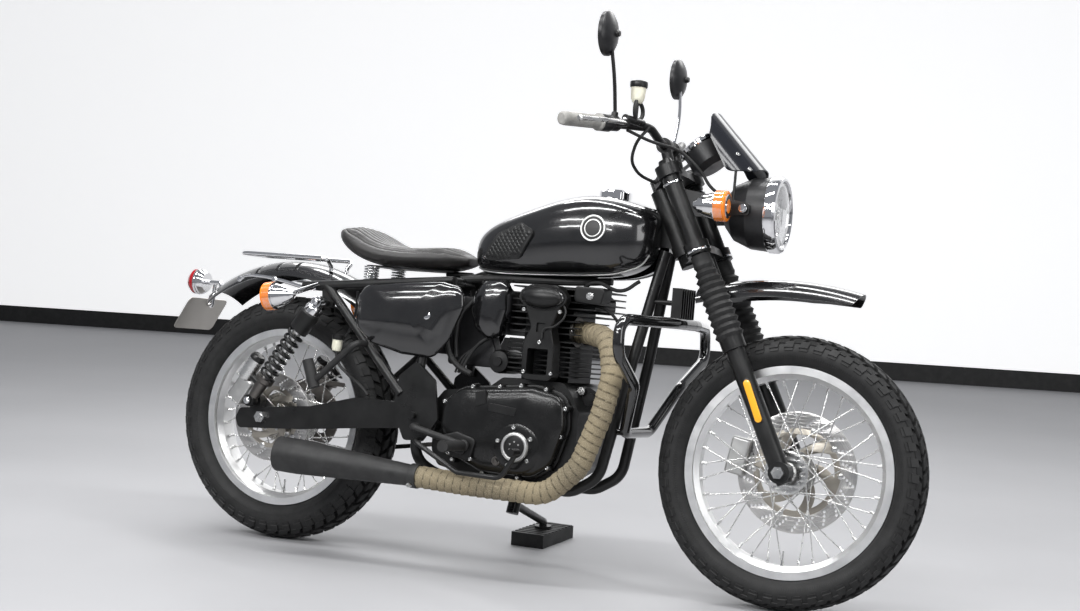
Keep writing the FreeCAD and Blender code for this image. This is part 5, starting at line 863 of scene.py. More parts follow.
def brake_disc(name, node, body, place, centre, radius, band, y, bore, boss, metal, groups):
    """Drilled band, carrier, buttons and the boss that bolts to the hub."""
    drills = []
    for group in range(groups):
        for step in range(DRILLS_A_GROUP):
            reach = band + (radius - band) * (0.2 + 0.2 * step)
            spot = ring_point(reach, 360 * (group + 0.16 * step) / groups)
            drills.append(circle(*spot, DRILL_RADIUS, 12))
    steel_band = upright_plate([circle(0, 0, radius, 120), circle(0, 0, band, 96)] + drills,
                               BAND_THICKNESS, centre, y)
    windows = [curved_window(360 * k / CARRIER_ARMS, bore + (band - bore) * 0.34, band * 0.86, 36, 26)
               for k in range(CARRIER_ARMS)]
    carrier = upright_plate([circle(0, 0, band + 0.3, 96), circle(0, 0, bore, 40)] + windows,
                            CARRIER_THICKNESS, centre, y)
    button = lathe([(0, 3.6), (5, 3.6), (7.5, 2.4), (7.5, -2.4), (5, -3.6), (0, -3.6)], 16)
    button.transform(ON_AXLE)
    buttons = round_axle.grow(button, bright_steel, Count=DISC_BUTTONS, Radius=band * MM, Side=y * MM,
                              Tilt=0.0, Start=0.3)
    buttons.transform(Matrix.Translation(centre))
    bolt = socket_head(5, 4)
    bolt.transform(Matrix.Rotation(math.radians(-90 * math.copysign(1, y)), 4, "X"))
    bolts = round_axle.grow(bolt, bright_steel, Count=HUB_BOLTS, Radius=(bore + 9) * MM,
                            Side=(y + math.copysign(1.8, y)) * MM, Tilt=0.0, Start=0.5)
    bolts.transform(Matrix.Translation(centre))
    ring = turned_on_axle([(boss[0], 9.2), (boss[1], 9.2), (boss[1], bore + 0.2), (boss[0], bore + 0.2)],
                          40, centre, True)
    parts = [painted(steel_band, metal), painted(carrier, carrier_bronze), buttons, bolts,
             painted(ring, bright_steel)]
    piece(name, joined(parts), None, body, "steel", place, node)


carrier_bronze = bare_metal("carrier_anodising", (0.42, 0.39, 0.34), 0.36)
brake_disc("front_disc_drilled", "front_disc", "front_wheel", steered, front_axle, 150, 109, 66, 19.4,
           (60.2, 68.4), front_disc_metal, 22)
brake_disc("rear_disc_drilled", "rear_disc", "rear_wheel", parked, rear_axle, 120, 84, -88, 27.3,
           (-90.4, -75.2), rear_disc_metal, 18)

# %% [markdown]
# Each spoke is held by a nipple in the rim, and the hub's flanges have a ring of holes. The
# tyre's valve stands at the bottom of the front rim, where the photograph shows it.
# %% Nipples, hub rings and valves


def wheel_fittings(name, body, place, centre, rim_inside, flange_y, flange, barrel):
    """Nipples, a pierced ring on each flange and a valve."""
    nipple = lathe([(0, 0), (2.2, 0), (3.0, 2), (3.0, 10), (4.2, 12), (4.2, 15), (0, 15)], 8)
    parts = []
    for side in (-1, 1):
        parts.append(round_axle.grow(nipple, bright_steel, Count=18, Radius=(rim_inside - 14) * MM,
                                     Side=side * 6.2 * MM, Tilt=side * 0.1,
                                     Start=(0 if side < 0 else math.tau / 36)))
        middle = (flange + barrel) / 2 + 1
        holes = [circle(*ring_point(middle, 30 * k), 4.2, 12) for k in range(12)]
        outlines = [circle(0, 0, flange - 1, 60), circle(0, 0, barrel + 1, 48)] + holes
        ring = upright_plate(outlines, 2, at(0, 0, 0), side * (flange_y + 1))
        parts.append(painted(ring, bright_steel))
    stem = lathe([(0, 0), (2.6, 0), (2.6, 24), (4.2, 25), (4.2, 34), (0, 34)], 12)
    stem.transform(Matrix.Translation(at(0, 0, -(rim_inside - 36))) @ Matrix.Rotation(math.pi, 4, "X"))
    parts.append(painted(stem, bright_steel))
    mesh = joined(parts)
    mesh.transform(Matrix.Translation(centre))
    piece(name, mesh, None, body, "steel", place)


wheel_fittings("front_wheel_fittings", "front_wheel", steered, front_axle, 226, 44.4, 54, 27)
wheel_fittings("rear_wheel_fittings", "rear_wheel", parked, rear_axle, 209, 55.5, 66, 38)

# %% [markdown]
# The exhaust is bound with heat-proof cloth tape, wound from the muffler up, each turn over
# the last. A Geometry Nodes tree sweeps the pipe, and lifts the skin by how far round the lap
# each point is, which gives the true spiral step. The same amount paints shade into the step under each
# turn's edge.
# %% Heat wrap


def wrapped_pipe():
    """A pipe along the given edges, wound with tape."""
    tree = Tree("wrapped_pipe", {"Radius": "Float", "Pitch": "Float", "Lap": "Float", "Finish": "Material"})

    def kept(geometry, name, value):
        return tree.node("GeometryNodeStoreNamedAttribute", {"data_type": "FLOAT", "domain": "POINT"}, {
            "Geometry": geometry, "Name": name, "Value": value})

    def read(name):
        return tree.node("GeometryNodeInputNamedAttribute", {"data_type": "FLOAT"}, {"Name": name})

    path = tree.node("GeometryNodeMeshToCurve", {}, {"Mesh": tree.given["Shape"]})
    path = tree.node("GeometryNodeResampleCurve", {"mode": "LENGTH"}, {"Curve": path, "Length": 0.0028})
    path = kept(path, "along", tree.node("GeometryNodeSplineParameter", {}, {}, "Length"))
    ring = tree.node("GeometryNodeCurvePrimitiveCircle", {"mode": "RADIUS"}, {
        "Resolution": 44, "Radius": tree.given["Radius"]})
    ring = kept(ring, "around", tree.node("GeometryNodeSplineParameter", {}, {}, "Factor"))
    skin = tree.node("GeometryNodeCurveToMesh", {}, {"Curve": path, "Profile Curve": ring, "Fill Caps": True})
    lap = (read("along") / tree.given["Pitch"] + read("around")).math("FRACT")
    skin = kept(skin, "lap", lap)
    normal = tree.node("GeometryNodeInputNormal", {}, {})
    lift = tree.node("ShaderNodeVectorMath", {"operation": "SCALE"}, {
        0: normal, "Scale": (lap - 0.5) * tree.given["Lap"]})
    tree.end(tree.node("GeometryNodeSetPosition", {}, {"Geometry": skin, "Offset": lift}))
    return tree


def bent_path(points, bend, step=5.0):
    """Straight runs joined by tangent arcs, as a pipe bender leaves them."""
    path = [points[0]]
    for before, corner, after in zip(points, points[1:], points[2:]):
        run_in, run_out = corner - before, after - corner
        half_turn = run_in.angle(run_out) / 2
        if half_turn < 0.01:
            path.append(corner)
            continue
        reach = min(bend * MM * math.tan(half_turn), 0.45 * min(run_in.length, run_out.length))
        radius = reach / math.tan(half_turn)
        into, out = run_in.normalized(), run_out.normalized()
        centre = corner + (out - into).normalized() * radius / math.cos(half_turn)
        arm = corner - into * reach - centre
        count = max(3, round(2 * half_turn * radius / (step * MM)))
        for k in range(count + 1):
            path.append(centre + Matrix.Rotation(2 * half_turn * k / count, 3, into.cross(out)) @ arm)
    path.append(points[-1])
    return path


def line_of(points):
    """A mesh of edges through points."""
    mesh = bpy.data.meshes.new("line")
    mesh.from_pydata(points, [(k, k + 1) for k in range(len(points) - 1)], [])
    return mesh


# %% [markdown]
# The tape's colour runs from tan to sooty brown along the pipe, and it has painted shade, near
# black, in the step under each turn's edge. The weave is bump, because its threads are finer than the mesh.
# %% Wrapped exhaust
wrap = Finish("heat_wrap", (0.30, 0.25, 0.16), 0.85)
lap = wrap.node("ShaderNodeAttribute", {"attribute_name": "lap"}, {}, "Fac")
weave = wrap.noise(900, 2) * 0.6 + wrap.cells(420) * 0.7
soot = wrap.ease(wrap.noise(7, 4), 0.35, 0.7)
tape = wrap.blend(soot, (0.25, 0.205, 0.125), (0.12, 0.10, 0.065))
tape = wrap.blend(wrap.ease(weave, 0.45, 1.1), tape, (0.33, 0.28, 0.19))
# Painted shade: near black in the step under each turn's edge, where the lap share is low.
wrap.set({"Base Color": wrap.blend(wrap.ease(lap, 0.2, 0.02), tape, (0.022, 0.018, 0.012))})
wrap.bump(weave, 0.5, 0.7)
PORT_X, PORT_Y, PORT_Z = 142.1, -50, 630.4
PIPE_RADIUS, PIPE_BEND, TAPE_PITCH, TAPE_STEP = 27.7, 91.2, 21, 2.6
port = at(PORT_X, PORT_Y, PORT_Z)
pipe_reach = Vector((148, -100, 411.4))
pipe_shares = [(0, 0, 0), (0.26, 0, 0), (0.86, 0.70, -0.03), (1.02, 0.92, -0.25), (0.90, 1, -0.49),
               (0.58, 1, -0.81), (0, 1, -1)]
route = [port + pipe_reach * Vector(share) * MM for share in pipe_shares]
muffler_mouth = at(-213.2, -190, 230)
muffler_way = at(-420, -22, 17.6).normalized()
route += [muffler_mouth - muffler_way * 0.1425, muffler_mouth + muffler_way * 0.004]
pipe = wrapped_pipe().grow(line_of(bent_path(route, PIPE_BEND)), wrap, Radius=PIPE_RADIUS * MM,
                           Pitch=TAPE_PITCH * MM, Lap=TAPE_STEP * MM)
band = lathe([(28.0, -17), (31.0, -17), (31.4, -15), (31.4, 2), (31.0, 4), (28.0, 4)], 48, True)
clamp_screw = moved(socket_head(6, 12), seated(muffler_mouth + at(6, -24, -22), RIGHTWARD))
flange = lathe([(29, 1), (40, 1), (41, 2), (41, 7), (39, 8.5), (29, 8.5)], 40, True)
fittings = [set_on(muffler_mouth, muffler_way, band, heat_black), painted(clamp_screw, bright_steel),
            set_on(port, FORWARD, flange, dark_steel)]
for y in (PORT_Y - 33, PORT_Y + 33):
    fittings.append(set_on(at(150, y, PORT_Z), FORWARD, hexagon_head(6.5, 7), bright_steel))
piece("exhaust_wrapped", joined([pipe] + fittings), None, "frame", "heat_wrap", parked, "exhaust_pipe")

# %% [markdown]
# Two coil springs carry the seat. A spiral primitive swept with a round wire gives the coils,
# as one tree with its turns and sizes as inputs, and turned parts give the cups under them.
# %% Seat springs


def coil_spring():
    """A coil standing on its foot, from the given nothing."""
    tree = Tree("coil_spring", {"Turns": "Float", "Coil": "Float", "Height": "Float", "Wire": "Float",
                                "Finish": "Material"})
    spiral = tree.node("GeometryNodeCurveSpiral", {}, {
        "Resolution": 28, "Rotations": tree.given["Turns"], "Start Radius": tree.given["Coil"],
        "End Radius": tree.given["Coil"], "Height": tree.given["Height"]})
    section = tree.node("GeometryNodeCurvePrimitiveCircle", {"mode": "RADIUS"}, {
        "Resolution": 12, "Radius": tree.given["Wire"]})
    tree.end(tree.node("GeometryNodeCurveToMesh", {}, {
        "Curve": spiral, "Profile Curve": section, "Fill Caps": True}))
    return tree


springs = coil_spring()
seat_parts = []
for side in (-1, 1):
    foot = at(-458, side * 72, 719.3)
    coil = springs.grow(bpy.data.meshes.new("nothing"), chrome, Turns=5.2, Coil=18.6 * MM,
                        Height=36 * MM, Wire=2.3 * MM)
    seat_parts.append(moved(coil, Matrix.Translation(foot + at(0, 0, 2.4))))
    for low, high in ((0, 3.2), (37.6, 40.6)):
        cup = lathe([(6, low), (20.8, low), (20.8, high), (6, high)], 32, True)
        seat_parts.append(painted(moved(cup, Matrix.Translation(foot)), bright_steel))
piece("seat_coils", joined(seat_parts), None, "frame", "steel", parked, "seat_springs")


# %% [markdown]
# Each shock is a set of turned parts on one line from its top eye to its foot, with the same
# coil tree between them. A gas can stands beside it on a short neck.
# %% Shocks
SHOCK_Y, CAN_ASIDE = 165, 54


def shock(side):
    """One gas shock: chrome top eye, black shroud and spring, silver damper and reservoir."""
    top, foot = at(-558, side * SHOCK_Y, 653), at(-744, side * SHOCK_Y, 375)
    way = (foot - top).normalized()
    stand = facing(top, way)
    up_from_foot = top - foot

    def ring(profile, finish, closed=False):
        return painted(moved(lathe(profile, 36, closed), stand), finish)

    parts = [ring([(0, 10), (15, 10), (21, 16), (22.5, 20), (22.5, 36), (0, 36)], chrome),
             ring([(0, 34), (24, 34), (27, 38), (27, 90), (25.6, 93), (0, 93)], satin),
             ring([(0, 92), (13, 92), (13, 262), (0, 262)], bright_steel),
             ring([(13, 256), (25.2, 256), (25.6, 260), (25.6, 268), (17, 274), (16, 300), (13.4, 320),
                   (0, 321)], dark_steel)]
    coil = springs.grow(bpy.data.meshes.new("nothing"), satin, Turns=8.6, Coil=21.6 * MM,
                        Height=166 * MM, Wire=3.9 * MM)
    parts.append(moved(coil, stand @ Matrix.Translation(at(0, 0, 91.5))))
    eye = lathe([(8.2, -12), (15.4, -12), (16, -10.5), (16, 10.5), (15.4, 12), (8.2, 12)], 28, True)
    for end, finish in ((top, chrome), (foot, satin)):
        parts.append(set_on(end, (0, 1, 0), eye, finish))
        parts.append(set_on(end + at(0, side * 19, 0), (0, side, 0), hexagon_head(7.5, 5), chrome))
    aside = Vector((0, 1, 0)).cross(way)
    aside *= -1 if aside.x > 0 else 1
    can_foot = foot + up_from_foot * 0.10 + aside * CAN_ASIDE * MM
    can = [((0, 0), (16, 0), (20.6, 5), (20.8, 12), (20.8, 64), (0, 64), bright_steel),
           ((0, 63), (20.9, 63), (20.9, 70), (16.8, 77.6), (0, 77.8), satin)]
    for *profile, finish in can:
        parts.append(set_on(can_foot, -way, lathe(profile, 32), finish))
    neck = bent_bar([foot + up_from_foot * 0.16, can_foot + up_from_foot * 0.06], 11)
    parts.append(painted(neck, satin))
    return parts


piece("shocks_sprung", joined(shock(-1) + shock(1)), None, "frame", "satin_black", parked, "shocks")

# %% [markdown]
# The solo seat is leather over foam, sewn lengthwise into rolls. The solid is remeshed into
# even faces and blown up a little by a cloth simulation, as stuffing does. The rolls and the
# seam round their field come after that, because a remesh would wipe them out.
# %% Seat


CLOTH_FRAMES = 20


def stuffed(mesh, cell, pressure, cap):
    """The mesh after a short cloth run under pressure, no point moved by more than the cap."""
    holder = linked("pad", mesh)
    remesh = holder.modifiers.new("even", "REMESH")
    remesh.mode = "VOXEL"
    remesh.voxel_size = cell * MM
    even = evaluated(holder)
    holder.modifiers.remove(remesh)
    holder.data = even
    cloth = holder.modifiers.new("stuffing", "CLOTH")
    cloth.settings.use_pressure = True
    cloth.settings.uniform_pressure_force = pressure
    cloth.settings.effector_weights.gravity = 0
    for step in range(1, CLOTH_FRAMES + 1):
        bpy.context.scene.frame_set(step)
    blown = evaluated(holder)
    holder.modifiers.remove(cloth)
    bpy.context.scene.frame_set(1)
    for before, after in zip(even.vertices, blown.vertices):
        move = after.co - before.co
        before.co += move.normalized() * min(move.length, cap * MM) if move.length > 0 else move
    fine = holder.modifiers.new("fine", "SUBSURF")
    fine.levels = fine.render_levels = 1
    smooth = evaluated(holder)
    bpy.data.objects.remove(holder)
    return smooth


def step_between(value, low, high):
    """0 below low, 1 above high, and a smooth change between."""
    share = min(max((value - low) / (high - low), 0), 1)
    return share * share * (3 - 2 * share)


SEAT_REAR, SEAT_LENGTH, SEAT_HALF_WIDTH = -562, 378, 136
seat_shares = [(0, 0.60), (0.11, 0.92), (0.27, 1.0), (0.48, 0.94), (0.69, 0.77), (0.88, 0.51), (1, 0.26)]


def seat_width(along):
    """Half of the seat's width, from its sections, in millimetres."""
    for (a, low), (b, high) in zip(seat_shares, seat_shares[1:]):
        if along <= b:
            return SEAT_HALF_WIDTH * (low + (high - low) * max(along - a, 0) / (b - a))
    return SEAT_HALF_WIDTH * seat_shares[-1][1]


ROOM_TO_SWELL = 0.982
FIELD_EDGE, SEAM_AT, SEAM_BREADTH = 0.80, 0.83, 0.022
ROLLS_A_SIDE, ROLL_HEIGHT, ROLL_FOOT, SEAM_DEPTH = 4.5, 6.2, 0.82, 3.2
form = form_of(frame["nodes"]["seat"].data)
bmesh.ops.remove_doubles(form, verts=form.verts, dist=SAME_POINT)
bmesh.ops.transform(form, matrix=parked.inverted(), verts=form.verts)
middle = at(-373, 0, 800)
for vertex in form.verts:
    vertex.co = middle + (vertex.co - middle) * ROOM_TO_SWELL
pad_mesh = stuffed(mesh_from(form, "pad"), 5, 4, 5)
normals = [vertex.normal.copy() for vertex in pad_mesh.vertices]
for vertex, normal in zip(pad_mesh.vertices, normals):
    along = (vertex.co.x / MM - SEAT_REAR) / SEAT_LENGTH
    across = abs(vertex.co.y / MM) / seat_width(along)
    top_side = step_between(normal.z + 0.5 * normal.x, 0.25, 0.6)
    ends = step_between(along, 0.035, 0.09) * step_between(0.965 - along, 0.0, 0.05)
    field = step_between(FIELD_EDGE - across, 0.0, 0.04) * ends * top_side
    roll = (across / FIELD_EDGE * ROLLS_A_SIDE + 0.5) % 1.0
    height = math.sqrt(max(1 - (2 * roll - 1) ** 2, 0)) - ROLL_FOOT
    seam = math.exp(-((across - SEAM_AT) / SEAM_BREADTH) ** 2) * ends * top_side
    vertex.co += normal * MM * (ROLL_HEIGHT * height * field - SEAM_DEPTH * seam)
seat = piece("seat_padded", pad_mesh, leather, "frame", "leather", parked, "seat")
print("seat", len(pad_mesh.vertices), "points")

# %% [markdown]
# Covers on a machine like this are cast or pressed with domed faces, which catch the light in
# long curves. One helper rounds an outline's corners and lifts it into such a pillow. Wires,
# hoses and rails are round lines drawn smoothly through a few places.
# %% Pillows and wires


def rounded(outline, bend):
    """An outline of (x, z) corners with arcs at its corners."""
    corners = [at(x, 0, z) for x, z in outline]
    start = (corners[-1] + corners[0]) / 2
    path = bent_path([start] + corners + [start], bend, 4)
    return [(p.x / MM, p.z / MM) for p in path[:-1]]


def pillow(outline, bend, base_y, edge_y, top_y, power=2.5, crease=None):
    """A domed cover over an outline: straight from base_y to edge_y, then domed to top_y."""
    ring = rounded(outline, bend)
    x0 = sum(x for x, z in ring) / len(ring)
    z0 = sum(z for x, z in ring) / len(ring)
    form = bmesh.new()
    levels = 18
    rise = top_y - edge_y
    profile = [(1.0, base_y)]
    for k in range(levels + 1):
        turn = math.pi / 2 * k / levels
        profile.append((math.cos(turn) ** (2 / power), edge_y + rise * math.sin(turn) ** (2 / power)))
    rings = []
    for scale, y in profile[:-1]:
        row = []
        for x, z in ring:
            px, pz = x0 + (x - x0) * scale, z0 + (z - z0) * scale
            lift = 0 if crease is None or scale == 1.0 else crease(px, pz)
            row.append(form.verts.new(at(px, y - math.copysign(lift, y), pz)))
        rings.append(row)
    form.faces.new(rings[0])
    lift = crease(x0, z0) if crease else 0
    pole = form.verts.new(at(x0, top_y - math.copysign(lift, top_y), z0))
    rings.append([pole] * len(ring))
    for low, high in zip(rings, rings[1:]):
        skin_between(form, low, high)
    return mesh_from(form, "pillow", True)


def wire(points, radius, finish):
    """A round line drawn smoothly through places."""
    curve = bpy.data.curves.new("wire", "CURVE")
    curve.dimensions = "3D"
    curve.bevel_depth = radius * MM
    curve.bevel_resolution = 3
    curve.resolution_u = 8
    curve.use_fill_caps = True
    spline = curve.splines.new("BEZIER")
    spline.bezier_points.add(len(points) - 1)
    for knot, point in zip(spline.bezier_points, points):
        knot.co = point
        knot.handle_left_type = knot.handle_right_type = "AUTO"
    return painted(mesh_of(curve), finish)


def scaled(shares, x, z, length, height):
    """Corners from shares of a length and a height."""
    return [(x + length * a, z + height * b) for a, b in shares]


def right_bolts(head, spots, y):
    """Bolt heads that face right, at (x, z) spots."""
    return [set_on(at(x, y, z), RIGHTWARD, head, bright_steel) for x, z in spots]


def hose(places, radius, finish):
    """A wire through places in millimetres."""
    return wire([at(*place) for place in places], radius, finish)


# %% [markdown]
# The side panels are pressed covers over the air box, glossy like the tank, with a crease low
# down and a lock near the front. They lie over the frame on both sides, on short rods.
# %% Side panels
CREASE_Z, CREASE_SLOPE, CREASE_STEP = 612, 0.06, 3.2


def low_crease(x, z):
    """How far the panel steps in below its crease."""
    line = CREASE_Z - (x + 446) * CREASE_SLOPE
    return CREASE_STEP * (1 - step_between(z - line, -3, 3))


panel_outline = [(-444, 600), (-444, 676), (-420, 708), (-300, 722), (-194, 730), (-134, 718), (-128, 668),
                 (-166, 580), (-206, 532), (-300, 536), (-400, 560)]
panel = painted(pillow(panel_outline, 34, 150, 153, 180, 2.15, low_crease), paint)
lock = lathe([(0, 1.4), (3.2, 1.4), (3.4, 4.2), (9.5, 4.2), (11.5, 3.0), (12, -4), (0, -4)], 28)
panels = across_machine(panel) + [set_on(at(-222, -173.5, 641), (-0.05, -1, 0.12), lock, chrome)]
piece("side_panels_pressed", joined(panels), None, "frame", "black_paint", parked, "side_panels")
rods = []
for places in ([(-340, 118, 640), (-330, 154, 632)], [(-250, 118, 640), (-255, 154, 630)]):
    rods += across_machine(hose(places, 5, satin))
piece("side_panel_rods", joined(rods), None, "frame", "satin_black", parked)

# %% [markdown]
# The right engine cover is one large oval casting with a domed clutch, a silver ring with
# bolts round its lid, a box-like filter cover and a sight plug. Screws hold it all round.
# %% Clutch cover
case_size = (-210, 247, 410, 253)
CLUTCH_X, CLUTCH_Z, LID_SCREWS_RADIUS = 57, 330, 49


def grown(outline, middle, along, up):
    """An outline whose corners move from a middle by two shares."""
    x0, z0 = middle
    return [(x0 + (x - x0) * along, z0 + (z - z0) * up) for x, z in outline]


oval = scaled([(0.10, 0.44), (0.11, 0.72), (0.23, 0.86), (0.72, 0.94), (0.93, 0.87), (0.95, 0.56),
               (0.88, 0.18), (0.75, 0.04), (0.40, 0.04), (0.16, 0.20)], *case_size)
filter_box = scaled([(0.13, 0.36), (0.17, 0.19), (0.35, 0.13), (0.39, 0.36), (0.25, 0.42)], *case_size)
land = scaled([(0.45, 0.66), (0.63, 0.63), (0.64, 0.71), (0.45, 0.74)], *case_size)
wedge = scaled([(0.35, 0.83), (0.36, 0.69), (0.43, 0.73), (0.42, 0.86)], *case_size)
castings = [(oval, 56, -118.6, -138, -170.5, 3.4, case_gloss),
            (grown(oval, (5, 371), 1.035, 1.045), 58, -118.6, -126, -131, 8, case_black),
            (filter_box, 14, -150, -171, -177, 7, case_black),
            (grown(filter_box, (-105, 314), 0.62, 0.55), 8, -170, -180, -182.5, 8, case_gloss),
            (land, 3, -160, -170.2, -171.6, 12, case_black),
            (wedge, 3, -150, -169.4, -170.8, 12, case_black)]
cover_parts = [painted(pillow(*shape), finish) for *shape, finish in castings]
rim_screws = [(-161.9, 425.8), (-85.3, 469.5), (-9.1, 476), (50.2, 482.5), (119.9, 480), (176, 437.0),
              (168.7, 366.3), (140.1, 286.1), (60, 253), (-40, 254), (-128, 280)]
lid_screws = [(CLUTCH_X + LID_SCREWS_RADIUS * math.cos(turn), CLUTCH_Z + LID_SCREWS_RADIUS * math.sin(turn))
              for turn in (0.5, 1.7, 2.9, 4.4, 5.6)]
boss = lathe([(0, 0), (8.5, 0), (9.5, -30), (0, -30)], 20)
cover_parts += [set_on(at(x, -147, z), RIGHTWARD, boss, case_gloss) for x, z in rim_screws]
cover_parts += right_bolts(socket_head(5.2, 4.2), rim_screws, -147.5)
cover_parts += right_bolts(socket_head(5.2, 4.2), lid_screws, -172.0)
cover_parts += right_bolts(socket_head(4.6, 3.6), [(-140, 330), (-126, 297), (-62, 288)], -175)
clutch = facing(at(CLUTCH_X, -168, CLUTCH_Z), RIGHTWARD)
dome = lathe([(0, 4.2), (40, 4.2), (55, 3.4), (62, 1.0), (68, -5), (70, -16), (0, -16)], 72)
lid_ring = lathe([(28.5, 3), (28.5, 9), (30, 10.2), (34, 10.2), (36, 9), (38.5, 3)], 64, True)
lid = lathe([(0, 7.2), (24, 7.2), (28.8, 5.8), (28.8, 3), (0, 3)], 48)
rivet = lathe([(0, 8.6), (2.2, 8.6), (2.2, 7), (0, 7)], 10)
clutch_parts = [(dome, case_gloss), (lid_ring, cast_metal), (lid, case_black)]
clutch_parts += [(moved(rivet, Matrix.Translation(at(*ring_point(13.5, 30 + 60 * k), 0))), cast_metal)
                 for k in range(6)]
cover_parts += [painted(moved(shape, clutch), finish) for shape, finish in clutch_parts]
plug = lathe([(0, 2), (7, 2), (7.6, 4.5), (11, 4.5), (12, 3), (12, -14), (0, -14)], 28)
cover_parts.append(set_on(at(6.8, -166, 290), RIGHTWARD, plug, dark_steel))
piece("clutch_cover_cast", joined(cover_parts), None, "frame", "satin_black", parked, "clutch_cover")

# %% [markdown]
# Beside the cylinder stands the keyhole housing with its glossy dome. Over the inlet lies a
# teardrop cover, on the head a square plug cover, and behind the cylinder the starter motor.
# %% Upper engine
dome_place = Matrix.Translation(at(90, -147.5, 709.3)) @ Matrix.Rotation(math.pi / 2, 4, "X")
dome_place @= Matrix.Diagonal((60, 30, 20, 1))
shell_dome = lathe([(0, 1), (0.30, 0.96), (0.55, 0.85), (0.76, 0.66), (0.90, 0.44), (0.97, 0.24), (1, 0),
                    (1, -0.5), (0, -0.5)], 64)
seat_ring = lathe([(0.97, -0.04), (1.0, 0.12), (1.09, 0.12), (1.11, -0.04)], 64, True)
teardrop = [(-137, 660), (-128, 712), (-104, 742), (-56, 750), (-30, 734), (-28, 672), (-44, 606), (-80, 590),
            (-118, 614)]
# A plain black plate fills the gap behind the cylinder, under the tank: it stands for the parts there and is
# painted shade for their dark.
gap_shade_plate = [(-214, 520), (-214, 700), (-128, 700), (-96, 620), (-60, 520)]
plug_cover = [(158, 745), (158, 706), (232, 700), (240, 744)]
covers = [(teardrop, 26, -84, -92, -120, 2.2, paint), (gap_shade_plate, 10, -20, -52, -60, 6, plastic),
          (plug_cover, 8, -58, -106, -112, 9, case_black)]
upper = [painted(moved(shell_dome, dome_place), paint), painted(moved(seat_ring, dome_place), case_black)]
upper += [painted(pillow(*shape), finish) for *shape, finish in covers]
upper += right_bolts(socket_head(5, 4), [(40, 676), (140, 676), (52, 520), (128, 520), (90, 596)], -148)
upper += right_bolts(hexagon_head(7.5, 5), [(200.5, 722)], -112)
upper += right_bolts(hexagon_head(8, 6), [(178.4, 482.8)], -66)
bolt_boss = lathe([(0, 0), (12, 0), (12, -26), (0, -26)], 24)
upper.append(set_on(at(178.4, -65, 482.8), RIGHTWARD, bolt_boss, satin))
starter = lathe([(0, 0), (26, 0), (31, 4), (31, 96), (27, 104), (12, 106), (12, 112), (0, 112)], 40)
starter_band = lathe([(32.2, 20), (32.2, 26)], 40)
for shape, finish in ((starter, case_black), (starter_band, satin)):
    upper.append(set_on(at(-62, 40, 538), RIGHTWARD, shape, finish))
engine_hoses = [
    ([(140, -140, 700), (156, -150, 672), (132, -154, 640), (100, -152, 628), (96, -150, 606)], 2.6),
    ([(-196, -52, 742), (-100, -58, 750), (20, -58, 753), (130, -54, 756), (230, -44, 764)], 10),
    ([(-150, -30, 735), (-60, -40, 760), (60, -36, 765), (180, -30, 770)], 9),
    ([(-200, -96, 600), (-190, -104, 560), (-160, -104, 520), (-120, -100, 500)], 7.5),
    ([(-150, -60, 690), (-170, -84, 650), (-176, -92, 600), (-168, -96, 540)], 5.5),
    ([(170, -64, 700), (230, -60, 690), (262, -40, 640), (250, -30, 560)], 4),
    ([(150, -70, 728), (200, -84, 757), (262, -60, 742), (300, -34, 770)], 5)]
for back in (0, 9, 18):
    places = [(-52 - back, -74, 610), (-96 - back, -88, 590 - back), (-136 - back, -92, 540),
              (-150 - back, -96, 500)]
    engine_hoses.append((places, 4.5 - back * 0.08))
upper += [hose(places, radius, rubber) for places, radius in engine_hoses]
for k in range(6):
    x = -112 + 15 * k
    rib = [(x, -70, 742 + 1.2 * k), (x + 3, -92, 742), (x + 6, -104, 732)]
    upper.append(hose(rib, 2.4, case_black))
piece("upper_engine_trim", joined(upper), None, "frame", "satin_black", parked)

# %% [markdown]
# The tank has a pinched seam along its lower edge, bare of paint, a round plain badge, and
# rubber knee pads pressed into rows of diamonds that grip the rider's knees.
# %% Tank trim
tank_rays = surface_of("fuel_tank", parked)
pad_rays = surface_of("knee_pads", parked)
badge = [(lathe([(29, -3), (29, 1.2), (30, 2), (32.5, 2), (33.5, 1.2), (33.5, -3)], 64, True), cast_metal),
         (lathe([(0, 1.6), (14, 1.3), (28.9, 0.4), (28.9, -3), (0, -3)], 64), case_black),
         (lathe([(20, 0.6), (20, 2), (22.5, 1.8), (22.5, 0.5)], 64, True), cast_metal)]
seam_line = [(-150, 775), (-128, 767.6), (-95, 764.5), (-58, 763.6), (-10, 764.4), (43, 766), (100, 768),
             (154, 770.6), (205, 774), (250, 779.5), (285, 790), (316, 806), (336, 832)]
trim = []
for side in (-1, 1):
    path = []
    for x, z in seam_line:
        hit = tank_rays.ray_cast(at(x, side * 400, z + 5), Vector((0, -side, 0)))
        if hit[0]:
            path.append(hit[0] + at(0, side * 0.8, -2.5))
    trim.append(wire(path, 2.3, cast_metal))
    place, outward = from_side(tank_rays, [(209, 890)], side)[0]
    trim += [painted(moved(shape, seated(place, outward)), finish) for shape, finish in badge]
piece("tank_trim", joined(trim), None, "frame", "steel", parked)

# %% [markdown]
# The pads' pattern is a grid of low pyramids. Each stands where a ray from the side meets the
# pad, and only if rays just around it meet it too, so none hangs over the pad's edge.
# %% Knee pad diamonds
DIAMOND_STEP, DIAMOND_RISE, DIAMOND_REACH = 13.4, 8.6, 8
diamond = lathe([(0, 2.6), (4.6, 2.2), (8.6, 0.2), (8.6, -1), (0, -1)], 4)
studs = []
for side in (-1, 1):
    for row in range(14):
        for column in range(18):
            x = -140 + DIAMOND_STEP * (column + (0.5 if row % 2 else 0))
            z = 792 + DIAMOND_RISE * row
            around = [(x - DIAMOND_REACH, z), (x + DIAMOND_REACH, z), (x, z - DIAMOND_REACH),
                      (x, z + DIAMOND_REACH), (x, z)]
            on_pad = from_side(pad_rays, around, side)
            if len(on_pad) == len(around):
                studs.append(on_pad[-1])
piece("knee_pad_diamonds", scattered(diamond, rubber_shiny, studs), None, "frame", "rubber", parked)
print(len(studs), "diamonds")

